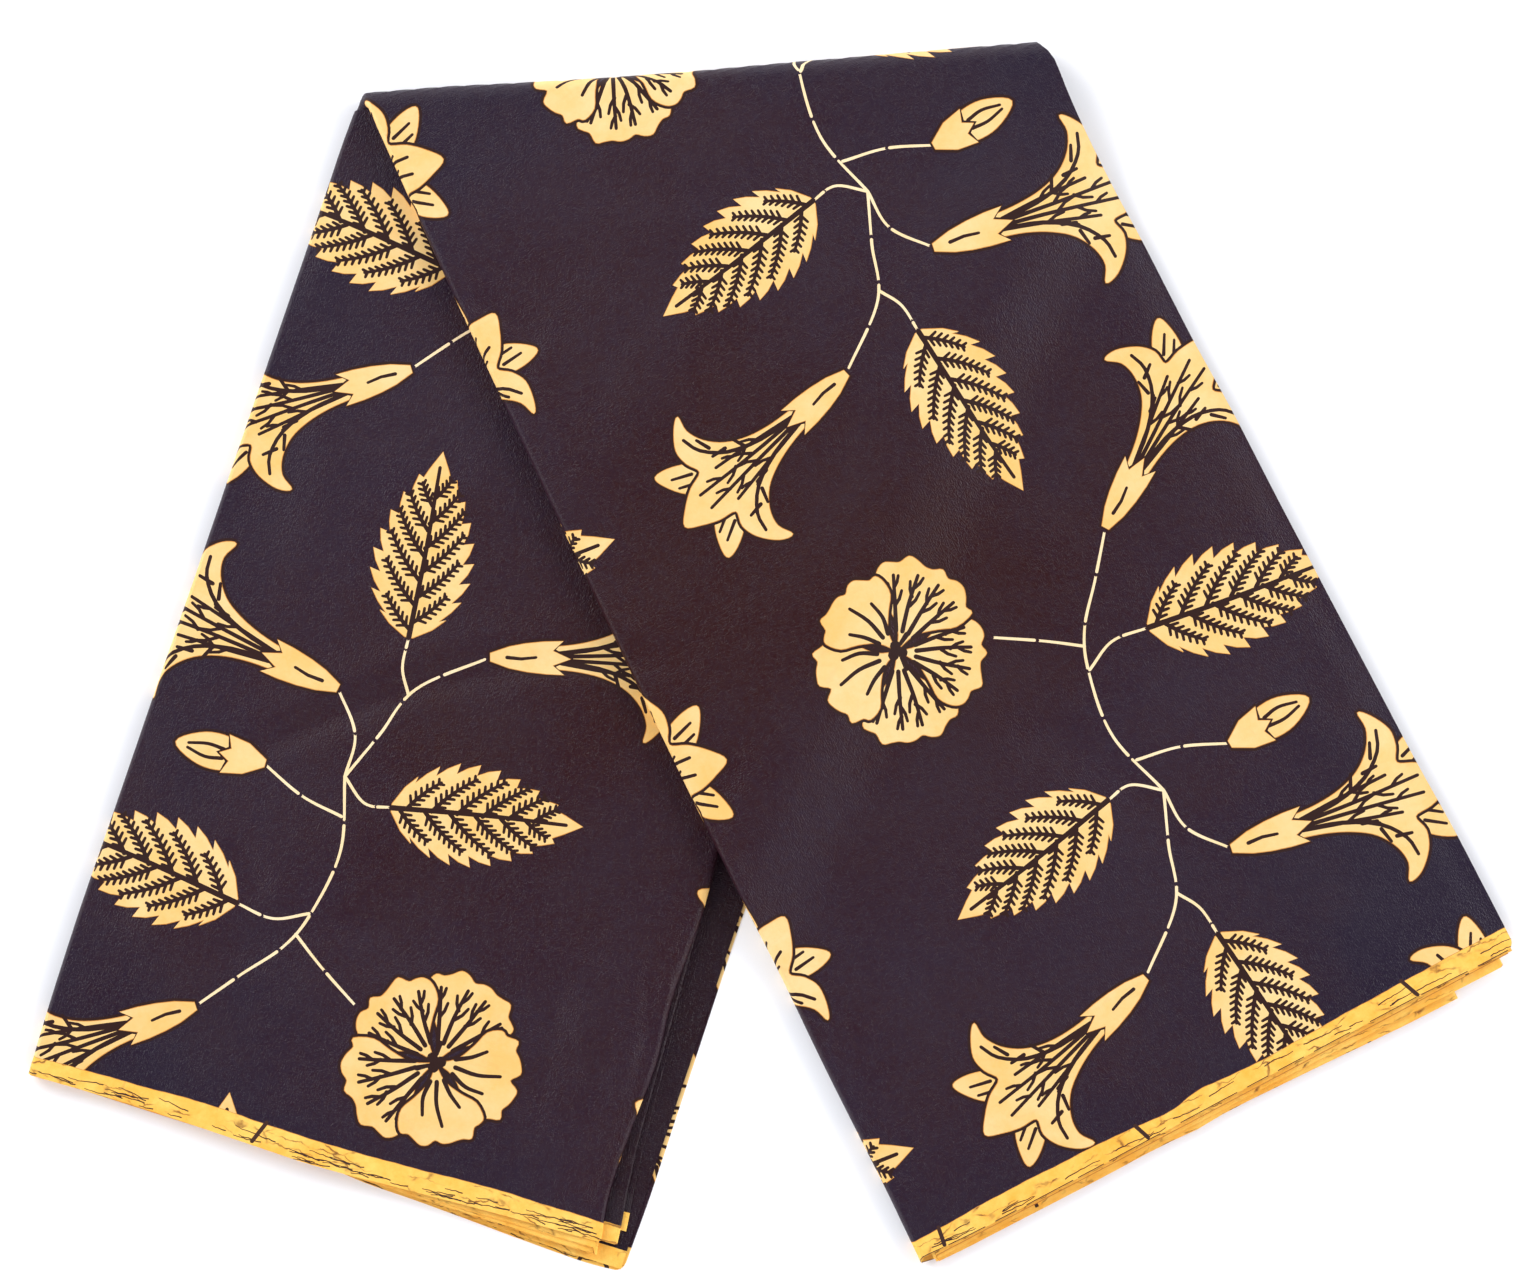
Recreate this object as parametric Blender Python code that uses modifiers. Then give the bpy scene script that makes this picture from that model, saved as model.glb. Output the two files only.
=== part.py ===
"""A cut length of printed bazin cotton, folded lengthwise into a band of sixteen plies and then
turned once over a slanted fold, so that it lies flat on a table as an upside-down V.

The left leg lies on the table. The right leg lies on it at the fold and runs down to the table
beyond it. The left side of both legs is closed: the last lengthwise fold is there, and one outer
ply wraps all the others. The right side of both is open and shows the folded bundles inside.
+Z is up, +Y runs from the selvedge ends towards the fold, and the origin is on the table under
the middle of the cloth.
"""
import math
from collections import namedtuple

import bmesh
import bpy
from mathutils import Vector

OBJECT_NAME = "folded_bazin_cloth"

# The stack of one leg, from the table up: outer ply, gap, five bundles, gap, outer ply
PLY = 0.0010
GAP = 0.0003
BUNDLE = 0.0012
BUNDLE_COUNT = 5
CORE_LOW = PLY + GAP
CORE_HIGH = CORE_LOW + BUNDLE_COUNT * BUNDLE
STACK = CORE_HIGH + GAP + PLY
NOSE_RADIUS = STACK / 2
CORE_RADIUS = NOSE_RADIUS - PLY - GAP

# The slanted fold: its outer corner on the closed side, its length and its tilt to +X
FOLD_CORNER = Vector((-0.2147, 0.2899))
FOLD_LENGTH = 0.3544
FOLD_TILT = math.radians(4.2)
TURN_RADIUS = STACK + GAP / 2
LIFT = STACK + GAP
# Half of how far the cloth's edges drift along the fold line as they go round the turn
TURN_DRIFT_CLOSED = 0.0036
TURN_DRIFT_OPEN = 0.0065

# The right leg's way down from the left leg to the table
RAMP_WIDTH = 0.055
RAMP_PAST_EDGE_AT_FOLD = 0.026
RAMP_PAST_EDGE_AT_CROSSING = -0.012
CROSSING = 0.68

# The yellow selvedge ends are a piece of their own over this length of each leg
SELVEDGE_ZONE = 0.020
# How much a bundle's edge is drawn in above and below its middle, and kept off its neighbour
EDGE_ROUND = 0.0005
BUNDLE_PART = 0.0001

NOSE_STEPS = 5
TURN_STEPS = 10
END_ROWS = 2
# Across the leg, where the flat part starts next to the closed side
FLAT_START = 0.0060
SHARP_ANGLE = math.radians(40)
SAME_ROW = 1e-9

# Colours are linear
PRINTED_DARK = (0.042, 0.024, 0.041, 1.0)
SELVEDGE_YELLOW = (0.930, 0.500, 0.110, 1.0)
CLOTH_ROUGHNESS = 0.55
SELVEDGE_ROUGHNESS = 0.75

# heading: the way down the leg, from -Y towards +X; closed_heading: the same for its closed side
# end_recede: how much shorter the widest ply is at the open corner; bow: its closed side's curve
# edge_soft: how far in from the open side the stack starts to sink; edge_low: its share left there
LegSize = namedtuple(
    "LegSize",
    "heading closed_heading closed_length end_width end_recede bow"
    " columns rows edge_steps edge_soft edge_low",
)
LEG_SIZES = {
    "left": LegSize(-17.7, -17.7, 0.5328, 0.3191, -0.0017, 0.0017, 7, 10, 2, 0.045, 0.70),
    "right": LegSize(26.4, 25.7, 0.6616, 0.3424, 0.0051, 0.0040, 12, 20, 3, 0.020, 0.60),
}
# The stack also sinks near its selvedge end, and its open side only away from the fold
END_SOFT = 0.030
END_LOW = 0.88
FOLD_SOFT = 0.120

# Each layer's open edge, out from the widest ply's edge, at the fold, the crossing and the end,
# and its selvedge end, out from the widest ply's end, at the closed and the open corner.
# shared_column is the last column that all the layers of a leg have in common.
Layer = namedtuple("Layer", "open_fold open_crossing open_end end_closed end_open")
LEFT_LAYERS = {
    "bottom_ply": Layer(0.0, 0.0, 0.0, 0.0, 0.0),
    "bundle_0": Layer(-0.0020, -0.0200, -0.0093, -0.0003, -0.0010),
    "bundle_1": Layer(-0.0028, -0.0203, -0.0087, -0.0006, -0.0026),
    "bundle_2": Layer(-0.0034, -0.0206, -0.0096, -0.0008, -0.0042),
    "bundle_3": Layer(-0.0042, -0.0208, -0.0130, -0.0010, -0.0056),
    "bundle_4": Layer(-0.0050, -0.0211, -0.0138, -0.0012, -0.0072),
    "top_ply": Layer(-0.0060, -0.0200, -0.0160, 0.0, -0.0086),
    "shared_column": Layer(-0.0100, -0.0260, -0.0260, 0.0, 0.0),
}
RIGHT_LAYERS = {
    "bottom_ply": Layer(-0.0060, -0.0100, -0.0300, 0.0040, 0.0030),
    "bundle_0": Layer(-0.0050, -0.0060, -0.0390, 0.0100, 0.0100),
    "bundle_1": Layer(-0.0042, -0.0050, -0.0370, 0.0085, 0.0090),
    "bundle_2": Layer(-0.0034, -0.0040, -0.0130, 0.0065, 0.0060),
    "bundle_3": Layer(-0.0028, -0.0030, -0.0110, 0.0045, 0.0035),
    "bundle_4": Layer(-0.0020, -0.0020, -0.0050, 0.0025, 0.0015),
    "top_ply": Layer(0.0, 0.0, 0.0, 0.0, 0.0),
    "shared_column": Layer(-0.0100, -0.0120, -0.0450, 0.0, 0.0),
}


def clear_scene():
    """Remove every object that the file opened with."""
    for obj in list(bpy.data.objects):
        bpy.data.objects.remove(obj)


def smooth(t):
    """A soft step from 0 at t = 0 to 1 at t = 1."""
    t = min(max(t, 0.0), 1.0)
    return t * t * (3 - 2 * t)


def mix(a, b, t):
    """The value a share t of the way from a to b."""
    return a + (b - a) * t


def direction(angle):
    """The unit vector at an angle from +X, in plan."""
    return Vector((math.cos(angle), math.sin(angle)))


FOLD_AXIS = direction(FOLD_TILT)
FOLD_OUT = direction(FOLD_TILT + math.pi / 2)


def fold_point(along):
    """A point of the fold's straight line, a turn's radius inside its outer edge."""
    return FOLD_CORNER - FOLD_OUT * TURN_RADIUS + FOLD_AXIS * along


class Leg:
    """The plan of one leg, rows running from its closed side to its open side."""

    def __init__(self, size, layers, drift):
        self.size = size
        self.layers = layers
        self.across = direction(math.radians(size.heading))
        self.down = direction(math.radians(size.heading) - math.pi / 2)
        self.fold_closed = fold_point(TURN_DRIFT_CLOSED * drift)
        self.fold_open = fold_point(FOLD_LENGTH + TURN_DRIFT_OPEN * drift)
        closed_way = direction(math.radians(size.closed_heading) - math.pi / 2)
        self.end_closed = FOLD_CORNER + closed_way * size.closed_length
        self.end_open = self.end_closed + self.across * size.end_width - self.down * size.end_recede
        self.split = 1 - SELVEDGE_ZONE / size.closed_length

    def row(self, v):
        """Closed-side point, unit vector towards the open side, and width of row v."""
        bow = self.across * self.size.bow * 4 * v * (1 - v)
        closed = self.fold_closed.lerp(self.end_closed, v) - bow
        way = self.fold_open.lerp(self.end_open, v) - closed
        return closed, way.normalized(), way.length

    def row_stretch(self, v):
        """How much longer a length square across the leg is when measured along row v."""
        return 1 / self.row(v)[1].dot(self.across)

    def rows(self, first, last):
        """The row positions between two shares of the leg, one of them being the split."""
        main = self.size.rows - END_ROWS
        body = [self.split * j / main for j in range(main + 1)]
        end = [mix(self.split, 1, (j + 1) / END_ROWS) for j in range(END_ROWS)]
        return [v for v in body + end if first - SAME_ROW <= v <= last + SAME_ROW]

    def columns(self, v):
        """Distances from the closed side of the columns that all layers share at row v."""
        steps = self.size.columns - 1
        last = self.row(v)[2] + self.open_out(self.layers["shared_column"], v)
        return [mix(FLAT_START, last, i / steps) for i in range(steps + 1)]

    def open_out(self, layer, v):
        """How far a layer's open edge is out from the widest ply's edge at row v."""
        if v < CROSSING:
            return mix(layer.open_fold, layer.open_crossing, smooth(v / CROSSING))
        return mix(layer.open_crossing, layer.open_end, (v - CROSSING) / (1 - CROSSING))

    def end_out(self, layer, u, v):
        """How far a layer is pushed down the leg at share u of row v, towards its own end."""
        return mix(layer.end_closed, layer.end_open, u) * max(0, (v - self.split) / (1 - self.split))

    def plan(self, v, across, along=0.0):
        """The plan point of row v at a distance from the closed side, pushed down the leg."""
        closed, way, _ = self.row(v)
        return closed + way * across + self.down * along

    def softness(self, p):
        """Share of the bundles' full height at a plan point: less at the open side and the end."""
        edge = self.fold_open - self.end_open
        edge_normal = Vector((edge.y, -edge.x)).normalized()
        from_edge = (self.end_open - p).dot(edge_normal)
        soft, low = self.size.edge_soft, self.size.edge_low
        from_fold = (fold_point(0) - p).dot(FOLD_OUT)
        near_edge = smooth((soft - from_edge) / soft) * smooth(from_fold / FOLD_SOFT)
        from_end = (self.end_closed - p).dot(self.down)
        near_end = smooth((END_SOFT - from_end) / END_SOFT)
        return (1 - (1 - low) * near_edge) * (1 - (1 - END_LOW) * near_end)


LEFT = Leg(LEG_SIZES["left"], LEFT_LAYERS, -1)
RIGHT = Leg(LEG_SIZES["right"], RIGHT_LAYERS, 1)


def underside(leg, p):
    """Height of a leg's underside at a plan point. Only the right leg leaves the table."""
    if leg is LEFT:
        return 0.0
    closed, way, width = LEFT.row(CROSSING)
    start_fold = LEFT.fold_open + LEFT.across * RAMP_PAST_EDGE_AT_FOLD
    start_crossing = closed + way * (width + RAMP_PAST_EDGE_AT_CROSSING)
    line = start_fold - start_crossing
    normal = Vector((line.y, -line.x)).normalized()
    return LIFT * (1 - smooth((p - start_fold).dot(normal) / RAMP_WIDTH))


def on_leg(leg, p, height):
    """The point over plan point p at a height in the full stack, its bundles pressed as there."""
    in_core = min(max(height - CORE_LOW, 0), CORE_HIGH - CORE_LOW)
    pressed = height - in_core * (1 - leg.softness(p))
    return Vector((p.x, p.y, underside(leg, p) + pressed))


def nose(radius, share):
    """Inset and height of a half-round edge, from its foot at share 0 to its top at share 1."""
    turn = math.pi * share
    return radius * (1 - math.sin(turn)), radius * (1 - math.cos(turn))


def core_levels(layers):
    """The rings of the inner plies from the lowest up: layer, height and how far it is drawn in."""
    rings = []
    for b in range(BUNDLE_COUNT):
        low = CORE_LOW + b * BUNDLE + (BUNDLE_PART if b else 0)
        high = CORE_LOW + (b + 1) * BUNDLE - (BUNDLE_PART if b < BUNDLE_COUNT - 1 else 0)
        layer = layers[f"bundle_{b}"]
        rings += [(layer, low, EDGE_ROUND), (layer, (low + high) / 2, 0), (layer, high, EDGE_ROUND)]
    return rings


def core_inset(height):
    """How far the half-round closed side of the inner plies is in from the outer ply's edge."""
    rise = height - NOSE_RADIUS
    return NOSE_RADIUS - math.sqrt(max(CORE_RADIUS ** 2 - rise ** 2, 0))


def add_object(name, mesh, colour, roughness, collection):
    """Give a mesh its object, its own cloth material and smooth shading."""
    material = bpy.data.materials.new(name)
    material.use_nodes = True
    shader = material.node_tree.nodes["Principled BSDF"]
    shader.inputs["Base Color"].default_value = colour
    shader.inputs["Roughness"].default_value = roughness
    shader.inputs["Metallic"].default_value = 0.0
    material.diffuse_color = colour
    mesh.materials.append(material)
    mesh.shade_smooth()
    mesh.set_sharp_from_angle(angle=SHARP_ANGLE)
    obj = bpy.data.objects.new(name, mesh)
    collection.objects.link(obj)
    return obj


def add_cell(bm, a, b, c, d):
    """Two triangles over the cell a, b, c, d, always cut from a to c."""
    bm.faces.new((a, b, c))
    bm.faces.new((a, c, d))


def sheet_mesh(name, columns, under=0):
    """An open sheet through columns of points, each running from the fold to the end.

    The first columns, as many as under says, lie below the stack and run the other way, so
    their cells are cut along the other diagonal, to match the plies above them."""
    bm = bmesh.new()
    grid = [[bm.verts.new(p) for p in column] for column in columns]
    for i, (left, right) in enumerate(zip(grid, grid[1:])):
        for j in range(len(left) - 1):
            if i < under:
                add_cell(bm, left[j + 1], right[j + 1], right[j], left[j])
            else:
                add_cell(bm, left[j], left[j + 1], right[j + 1], right[j])
    mesh = bpy.data.meshes.new(name)
    bm.to_mesh(mesh)
    bm.free()
    return mesh


def block_mesh(name, levels):
    """A closed block through levels of points, each level a grid of columns.

    Only the rim of a middle level is used, and the lowest and highest levels are filled."""
    wide = len(levels[0]) - 1
    long = len(levels[0][0]) - 1
    rim = [(0, j) for j in range(long + 1)]
    rim += [(i, long) for i in range(1, wide + 1)]
    rim += [(wide, j) for j in range(long - 1, -1, -1)]
    rim += [(i, 0) for i in range(wide - 1, 0, -1)]
    cells = [(i, j) for i in range(wide + 1) for j in range(long + 1)]
    bm = bmesh.new()
    rings = []
    for k, level in enumerate(levels):
        used = cells if k in (0, len(levels) - 1) else rim
        rings.append({c: bm.verts.new(level[c[0]][c[1]]) for c in used})
    for low, high in zip(rings, rings[1:]):
        for here, there in zip(rim, rim[1:] + rim[:1]):
            add_cell(bm, low[here], low[there], high[there], high[here])
    floor, roof = rings[0], rings[-1]
    for i in range(wide):
        for j in range(long):
            near, far = (i, j), (i + 1, j + 1)
            add_cell(bm, roof[near], roof[(i, j + 1)], roof[far], roof[(i + 1, j)])
            bm.faces.new((floor[near], floor[far], floor[(i, j + 1)]))
            bm.faces.new((floor[near], floor[(i + 1, j)], floor[far]))
    mesh = bpy.data.meshes.new(name)
    bm.to_mesh(mesh)
    bm.free()
    return mesh


def add_wall(obj):
    """Turn an outer surface into cloth one ply thick, growing inwards."""
    wall = obj.modifiers.new("wall", "SOLIDIFY")
    wall.thickness = PLY
    wall.offset = -1


def leg_outer_ply(leg, name, collection):
    """The outer ply: under the stack from its open edge, round the closed side, and back over it."""
    rows = leg.rows(0, 1)
    bottom, top = leg.layers["bottom_ply"], leg.layers["top_ply"]
    steps = leg.size.edge_steps
    columns = []

    def add_column(place):
        points = []
        for v in rows:
            layer, across, height = place(v)
            u = min(max(across / leg.row(v)[2], 0), 1)
            p = leg.plan(v, across, leg.end_out(layer, u, v))
            if v == 0:
                p = p - FOLD_OUT * GAP / 2
            points.append(on_leg(leg, p, height))
        columns.append(points)

    def edge_place(layer, share, height):
        def place(v):
            width = leg.row(v)[2]
            start = leg.columns(v)[-1]
            return layer, mix(start, width + leg.open_out(layer, v), share), height
        return place

    def flat_place(layer, index, height):
        return lambda v: (layer, leg.columns(v)[index], height)

    def nose_place(share):
        inset, height = nose(NOSE_RADIUS, share)
        layer = bottom if share < 0.5 else top
        return lambda v: (layer, inset * leg.row_stretch(v), height)

    add_column(edge_place(bottom, 1, 0))
    for index in reversed(range(leg.size.columns)):
        add_column(flat_place(bottom, index, 0))
    for step in range(NOSE_STEPS + 1):
        add_column(nose_place(step / NOSE_STEPS))
    for index in range(leg.size.columns):
        add_column(flat_place(top, index, STACK))
    for step in range(1, steps + 1):
        add_column(edge_place(top, step / steps, STACK))
    mesh = sheet_mesh(name, columns, under=leg.size.columns)
    obj = add_object(name, mesh, PRINTED_DARK, CLOTH_ROUGHNESS, collection)
    add_wall(obj)


def leg_core(leg, name, first, last, colour, roughness, collection):
    """The inner plies between two shares of the leg, layered at the open side and at the end."""
    rows = leg.rows(first, last)
    levels = []
    for layer, height, drawn in core_levels(leg.layers):
        grid = [[] for _ in range(leg.size.columns + 2)]
        for v in rows:
            width = leg.row(v)[2]
            closed = core_inset(height) * leg.row_stretch(v)
            opened = width + leg.open_out(layer, v) - drawn
            for column, across in zip(grid, [closed] + leg.columns(v) + [opened]):
                along = leg.end_out(layer, min(max(across / width, 0), 1), v)
                if v == rows[-1]:
                    along -= drawn if last == 1 else GAP / 2
                if v == rows[0] and first > 0:
                    along += GAP / 2
                p = leg.plan(v, across, along)
                if v == 0:
                    p = p - FOLD_OUT * GAP / 2
                column.append(on_leg(leg, p, height))
        levels.append(grid)
    add_object(name, block_mesh(name, levels), colour, roughness, collection)


def round_turn(along, radius, turn):
    """A point of the turn: along the fold, out from its line, at a turn from -90 to 90 degrees."""
    p = fold_point(along) + FOLD_OUT * (radius * math.cos(turn) + GAP / 2)
    return Vector((p.x, p.y, TURN_RADIUS + radius * math.sin(turn)))


def turn_stations():
    """Each step of the turn: its angle, and its drift from -1 at the left leg to 1 at the right."""
    for step in range(TURN_STEPS + 1):
        share = step / TURN_STEPS
        yield math.pi * (share - 0.5), 2 * share - 1


def top_fold_outer_ply(name, collection):
    """The outer ply round the turn, with the closed side's half-round edge down to its middle."""
    stretch = LEFT.row_stretch(0)
    nose_shares = [step / NOSE_STEPS for step in range(NOSE_STEPS - 1)]
    columns = []

    def add_column(along, edge_drift, radius):
        stations = turn_stations()
        columns.append([round_turn(along + edge_drift * drift, radius, turn) for turn, drift in stations])

    for share in reversed(nose_shares):
        inset, depth = nose(NOSE_RADIUS, share)
        add_column(inset * stretch, TURN_DRIFT_CLOSED, TURN_RADIUS - depth)
    add_column(FOLD_LENGTH / 2, 0, TURN_RADIUS)
    add_column(FOLD_LENGTH, TURN_DRIFT_OPEN, TURN_RADIUS)
    mesh = sheet_mesh(name, columns)
    obj = add_object(name, mesh, PRINTED_DARK, CLOTH_ROUGHNESS, collection)
    add_wall(obj)


def top_fold_core(name, collection):
    """The inner plies round the turn, layered at their open side as both legs are."""
    stretch = LEFT.row_stretch(0)
    levels = []
    for layer, height, drawn in core_levels(RIGHT.layers):
        radius = height - GAP / 2
        closed = core_inset(height) * stretch
        opened = FOLD_LENGTH + layer.open_fold - drawn
        grid = [[], [], []]
        for turn, drift in turn_stations():
            grid[0].append(round_turn(closed + TURN_DRIFT_CLOSED * drift, radius, turn))
            grid[1].append(round_turn(FOLD_LENGTH / 2, radius, turn))
            grid[2].append(round_turn(opened + TURN_DRIFT_OPEN * drift, radius, turn))
        levels.append(grid)
    add_object(name, block_mesh(name, levels), PRINTED_DARK, CLOTH_ROUGHNESS, collection)


def build():
    """Build the eight pieces of the folded cloth."""
    clear_scene()
    collection = bpy.data.collections.new(OBJECT_NAME)
    bpy.context.scene.collection.children.link(collection)
    for side, leg in (("left", LEFT), ("right", RIGHT)):
        leg_outer_ply(leg, f"{side}_leg_outer_ply", collection)
        leg_core(leg, f"{side}_leg_inner_plies", 0, leg.split, PRINTED_DARK, CLOTH_ROUGHNESS, collection)
        leg_core(leg, f"{side}_end_selvedges", leg.split, 1, SELVEDGE_YELLOW, SELVEDGE_ROUGHNESS, collection)
    top_fold_outer_ply("top_fold_outer_ply", collection)
    top_fold_core("top_fold_inner_plies", collection)


build()
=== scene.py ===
# %% [markdown]
# A folded length of printed bazin
#
# Bazin is a cotton damask that is sold by the length. This one is a single cloth, a little over a
# metre wide and more than five metres long. It is folded in half lengthwise four times, which makes
# a band of sixteen plies, and the band is then turned once over a slanted fold and laid on a table
# as an upside-down V. Nothing is cut and nothing is sewn.
#
# The lesson builds it as it is made: the print is drawn flat, the cloth is folded by a few formulas,
# and every drawn line ends up as a real edge in the mesh, so that no image texture is needed.

# %% Load the frame
import cmath
import math
import random
from collections import namedtuple

import bpy
import numpy as np
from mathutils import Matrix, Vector
from mathutils.geometry import delaunay_2d_cdt


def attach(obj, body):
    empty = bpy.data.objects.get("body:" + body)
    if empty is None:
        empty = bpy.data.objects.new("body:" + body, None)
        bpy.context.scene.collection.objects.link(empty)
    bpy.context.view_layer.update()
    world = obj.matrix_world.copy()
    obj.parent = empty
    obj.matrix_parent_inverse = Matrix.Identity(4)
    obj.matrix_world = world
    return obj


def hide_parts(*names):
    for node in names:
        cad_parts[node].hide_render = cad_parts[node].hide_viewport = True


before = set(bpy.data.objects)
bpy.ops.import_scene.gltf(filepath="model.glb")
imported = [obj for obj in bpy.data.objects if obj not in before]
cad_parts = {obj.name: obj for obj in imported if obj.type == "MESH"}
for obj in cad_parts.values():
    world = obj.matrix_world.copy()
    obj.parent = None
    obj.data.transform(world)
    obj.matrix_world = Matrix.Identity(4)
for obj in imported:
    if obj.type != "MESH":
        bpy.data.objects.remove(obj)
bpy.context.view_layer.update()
MM = 0.001


def place_object(name, data):
    """A new object with this data, linked into the scene."""
    thing = bpy.data.objects.new(name, data)
    bpy.context.scene.collection.objects.link(thing)
    return thing


# %% [markdown]
# The camera looks almost straight down, a few degrees from the front, as in the photograph of the
# cloth. Its focal length is written for a sensor 36 mm wide.

# %% Camera
CAMERA_TARGET = Vector((-0.0068, 0.0041, 0.0))
CAMERA_ELEVATION = math.radians(83)
CAMERA_DISTANCE = 2.2
SENSOR_WIDTH = 36.0
FOCAL_LENGTH = 101.2

camera_data = bpy.data.cameras.new("camera")
camera_data.sensor_width = SENSOR_WIDTH
camera_data.lens = FOCAL_LENGTH
camera = place_object("camera", camera_data)
away = Vector((0, -math.cos(CAMERA_ELEVATION), math.sin(CAMERA_ELEVATION)))
camera.location = CAMERA_TARGET + away * CAMERA_DISTANCE
camera.rotation_euler = (math.pi / 2 - CAMERA_ELEVATION, 0, 0)
bpy.context.scene.camera = camera
print("the camera is", CAMERA_DISTANCE, "m away")

# %% [markdown]
# Cotton in this deep dye is almost black, so most of what the eye sees on it is reflected light. A
# white room with a darker ceiling makes each soft fold show: where the cloth tips towards a wall it
# catches more light. Three softboxes give the faint shadows on the white ground.

# %% Floor, lights and the way colours are shown
FLOOR_SIZE = 6.0
FLOOR_WHITE = (0.93, 0.93, 0.935, 1)
FLOOR_ROUGHNESS = 0.9
FLOOR_SPECULAR = 0.1
# Height on the sky's dome, then the colour of the light from there
ROOM_LIGHT = ((0.30, (2.50, 2.50, 2.56)), (0.72, (0.42, 0.45, 0.54)), (0.985, (0.07, 0.07, 0.085)))

bpy.context.scene.view_settings.view_transform = "Standard"


def add_floor():
    """A plain pale table top far wider than the view."""
    half = FLOOR_SIZE / 2
    mesh = bpy.data.meshes.new("floor")
    corners = [(-half, -half, 0), (half, -half, 0), (half, half, 0), (-half, half, 0)]
    mesh.from_pydata(corners, [], [range(4)])
    material = bpy.data.materials.new("white_table")
    material.use_nodes = True
    shader = material.node_tree.nodes["Principled BSDF"]
    shader.inputs["Base Color"].default_value = FLOOR_WHITE
    shader.inputs["Roughness"].default_value = FLOOR_ROUGHNESS
    shader.inputs["Specular IOR Level"].default_value = FLOOR_SPECULAR
    mesh.materials.append(material)
    place_object("floor", mesh)


def add_room():
    """World light that is brighter at the walls than overhead."""
    world = bpy.data.worlds.new("studio")
    bpy.context.scene.world = world
    world.use_nodes = True
    nodes, links = world.node_tree.nodes, world.node_tree.links
    place = nodes.new("ShaderNodeTexCoord")
    height = nodes.new("ShaderNodeSeparateXYZ")
    ramp = nodes.new("ShaderNodeValToRGB")
    for _ in ROOM_LIGHT[2:]:
        ramp.color_ramp.elements.new(1.0)
    for element, (place_up, colour) in zip(ramp.color_ramp.elements, ROOM_LIGHT):
        element.position = place_up
        element.color = colour + (1,)
    links.new(place.outputs["Generated"], height.inputs[0])
    links.new(height.outputs["Z"], ramp.inputs["Fac"])
    links.new(ramp.outputs["Color"], nodes["Background"].inputs["Color"])


def add_lamp(name, place, width, watts):
    """A square softbox that faces the middle of the cloth."""
    data = bpy.data.lights.new(name, "AREA")
    data.shape = "SQUARE"
    data.size = width
    data.energy = watts
    lamp = place_object(name, data)
    lamp.location = place
    lamp.rotation_euler = Vector(place).to_track_quat("Z", "Y").to_euler()


add_floor()
add_room()
add_lamp("softbox_left", (-2.1, 1.3, 1.5), 1.4, 44)
add_lamp("softbox_right", (2.2, 0.7, 1.3), 1.2, 32)
add_lamp("softbox_front", (0.3, -2.6, 1.2), 1.6, 16)
print("floor, room and three softboxes are in place")

# %% [markdown]
# The sizes of the fold come first, and everything later is worked out from them. The stack of one
# leg is 8.6 mm high. Seen from above, a leg is a strip between a closed side, where the last
# lengthwise fold is, and an open side, where the edges of the earlier folds peep out.

# %% Sizes of the folded cloth
PLIES = 16
CLOTH = 0.26 * MM
CORE_LOW = 1.3 * MM
CORE_HIGH = 7.3 * MM
STACK = 8.6 * MM
PITCH = STACK / PLIES
FOLD_GAP = 0.3 * MM
MID_RADIUS = (STACK - CLOTH) / 2
NOSE_DEPTH = 2.4 * MM
TURN_RADIUS = STACK + FOLD_GAP / 2
LIFT = STACK + FOLD_GAP

FOLD_CORNER = np.array((-0.2147, 0.2899))
FOLD_LENGTH = 0.3544
FOLD_TILT = math.radians(4.2)
TURN_DRIFT_CLOSED = 0.0036
TURN_DRIFT_OPEN = 0.0065

RAMP_WIDTH = 0.055
RAMP_PAST_EDGE_AT_FOLD = 0.026
RAMP_PAST_EDGE_AT_CROSSING = -0.012
CROSSING = 0.68

# heading: the way across the leg, in degrees from +X; closed_heading: the same for its closed side
LegSize = namedtuple(
    "LegSize", "heading closed_heading closed_length end_width end_recede bow edge_soft edge_low")
LEG_SIZES = {
    "left": LegSize(-17.7, -17.7, 0.5328, 0.3191, -0.0017, 0.0017, 0.045, 0.70),
    "right": LegSize(26.4, 25.7, 0.6616, 0.3424, 0.0051, 0.0040, 0.020, 0.74),
}
END_SOFT = 0.030
END_LOW = 0.88
FOLD_SOFT = 0.120

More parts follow.
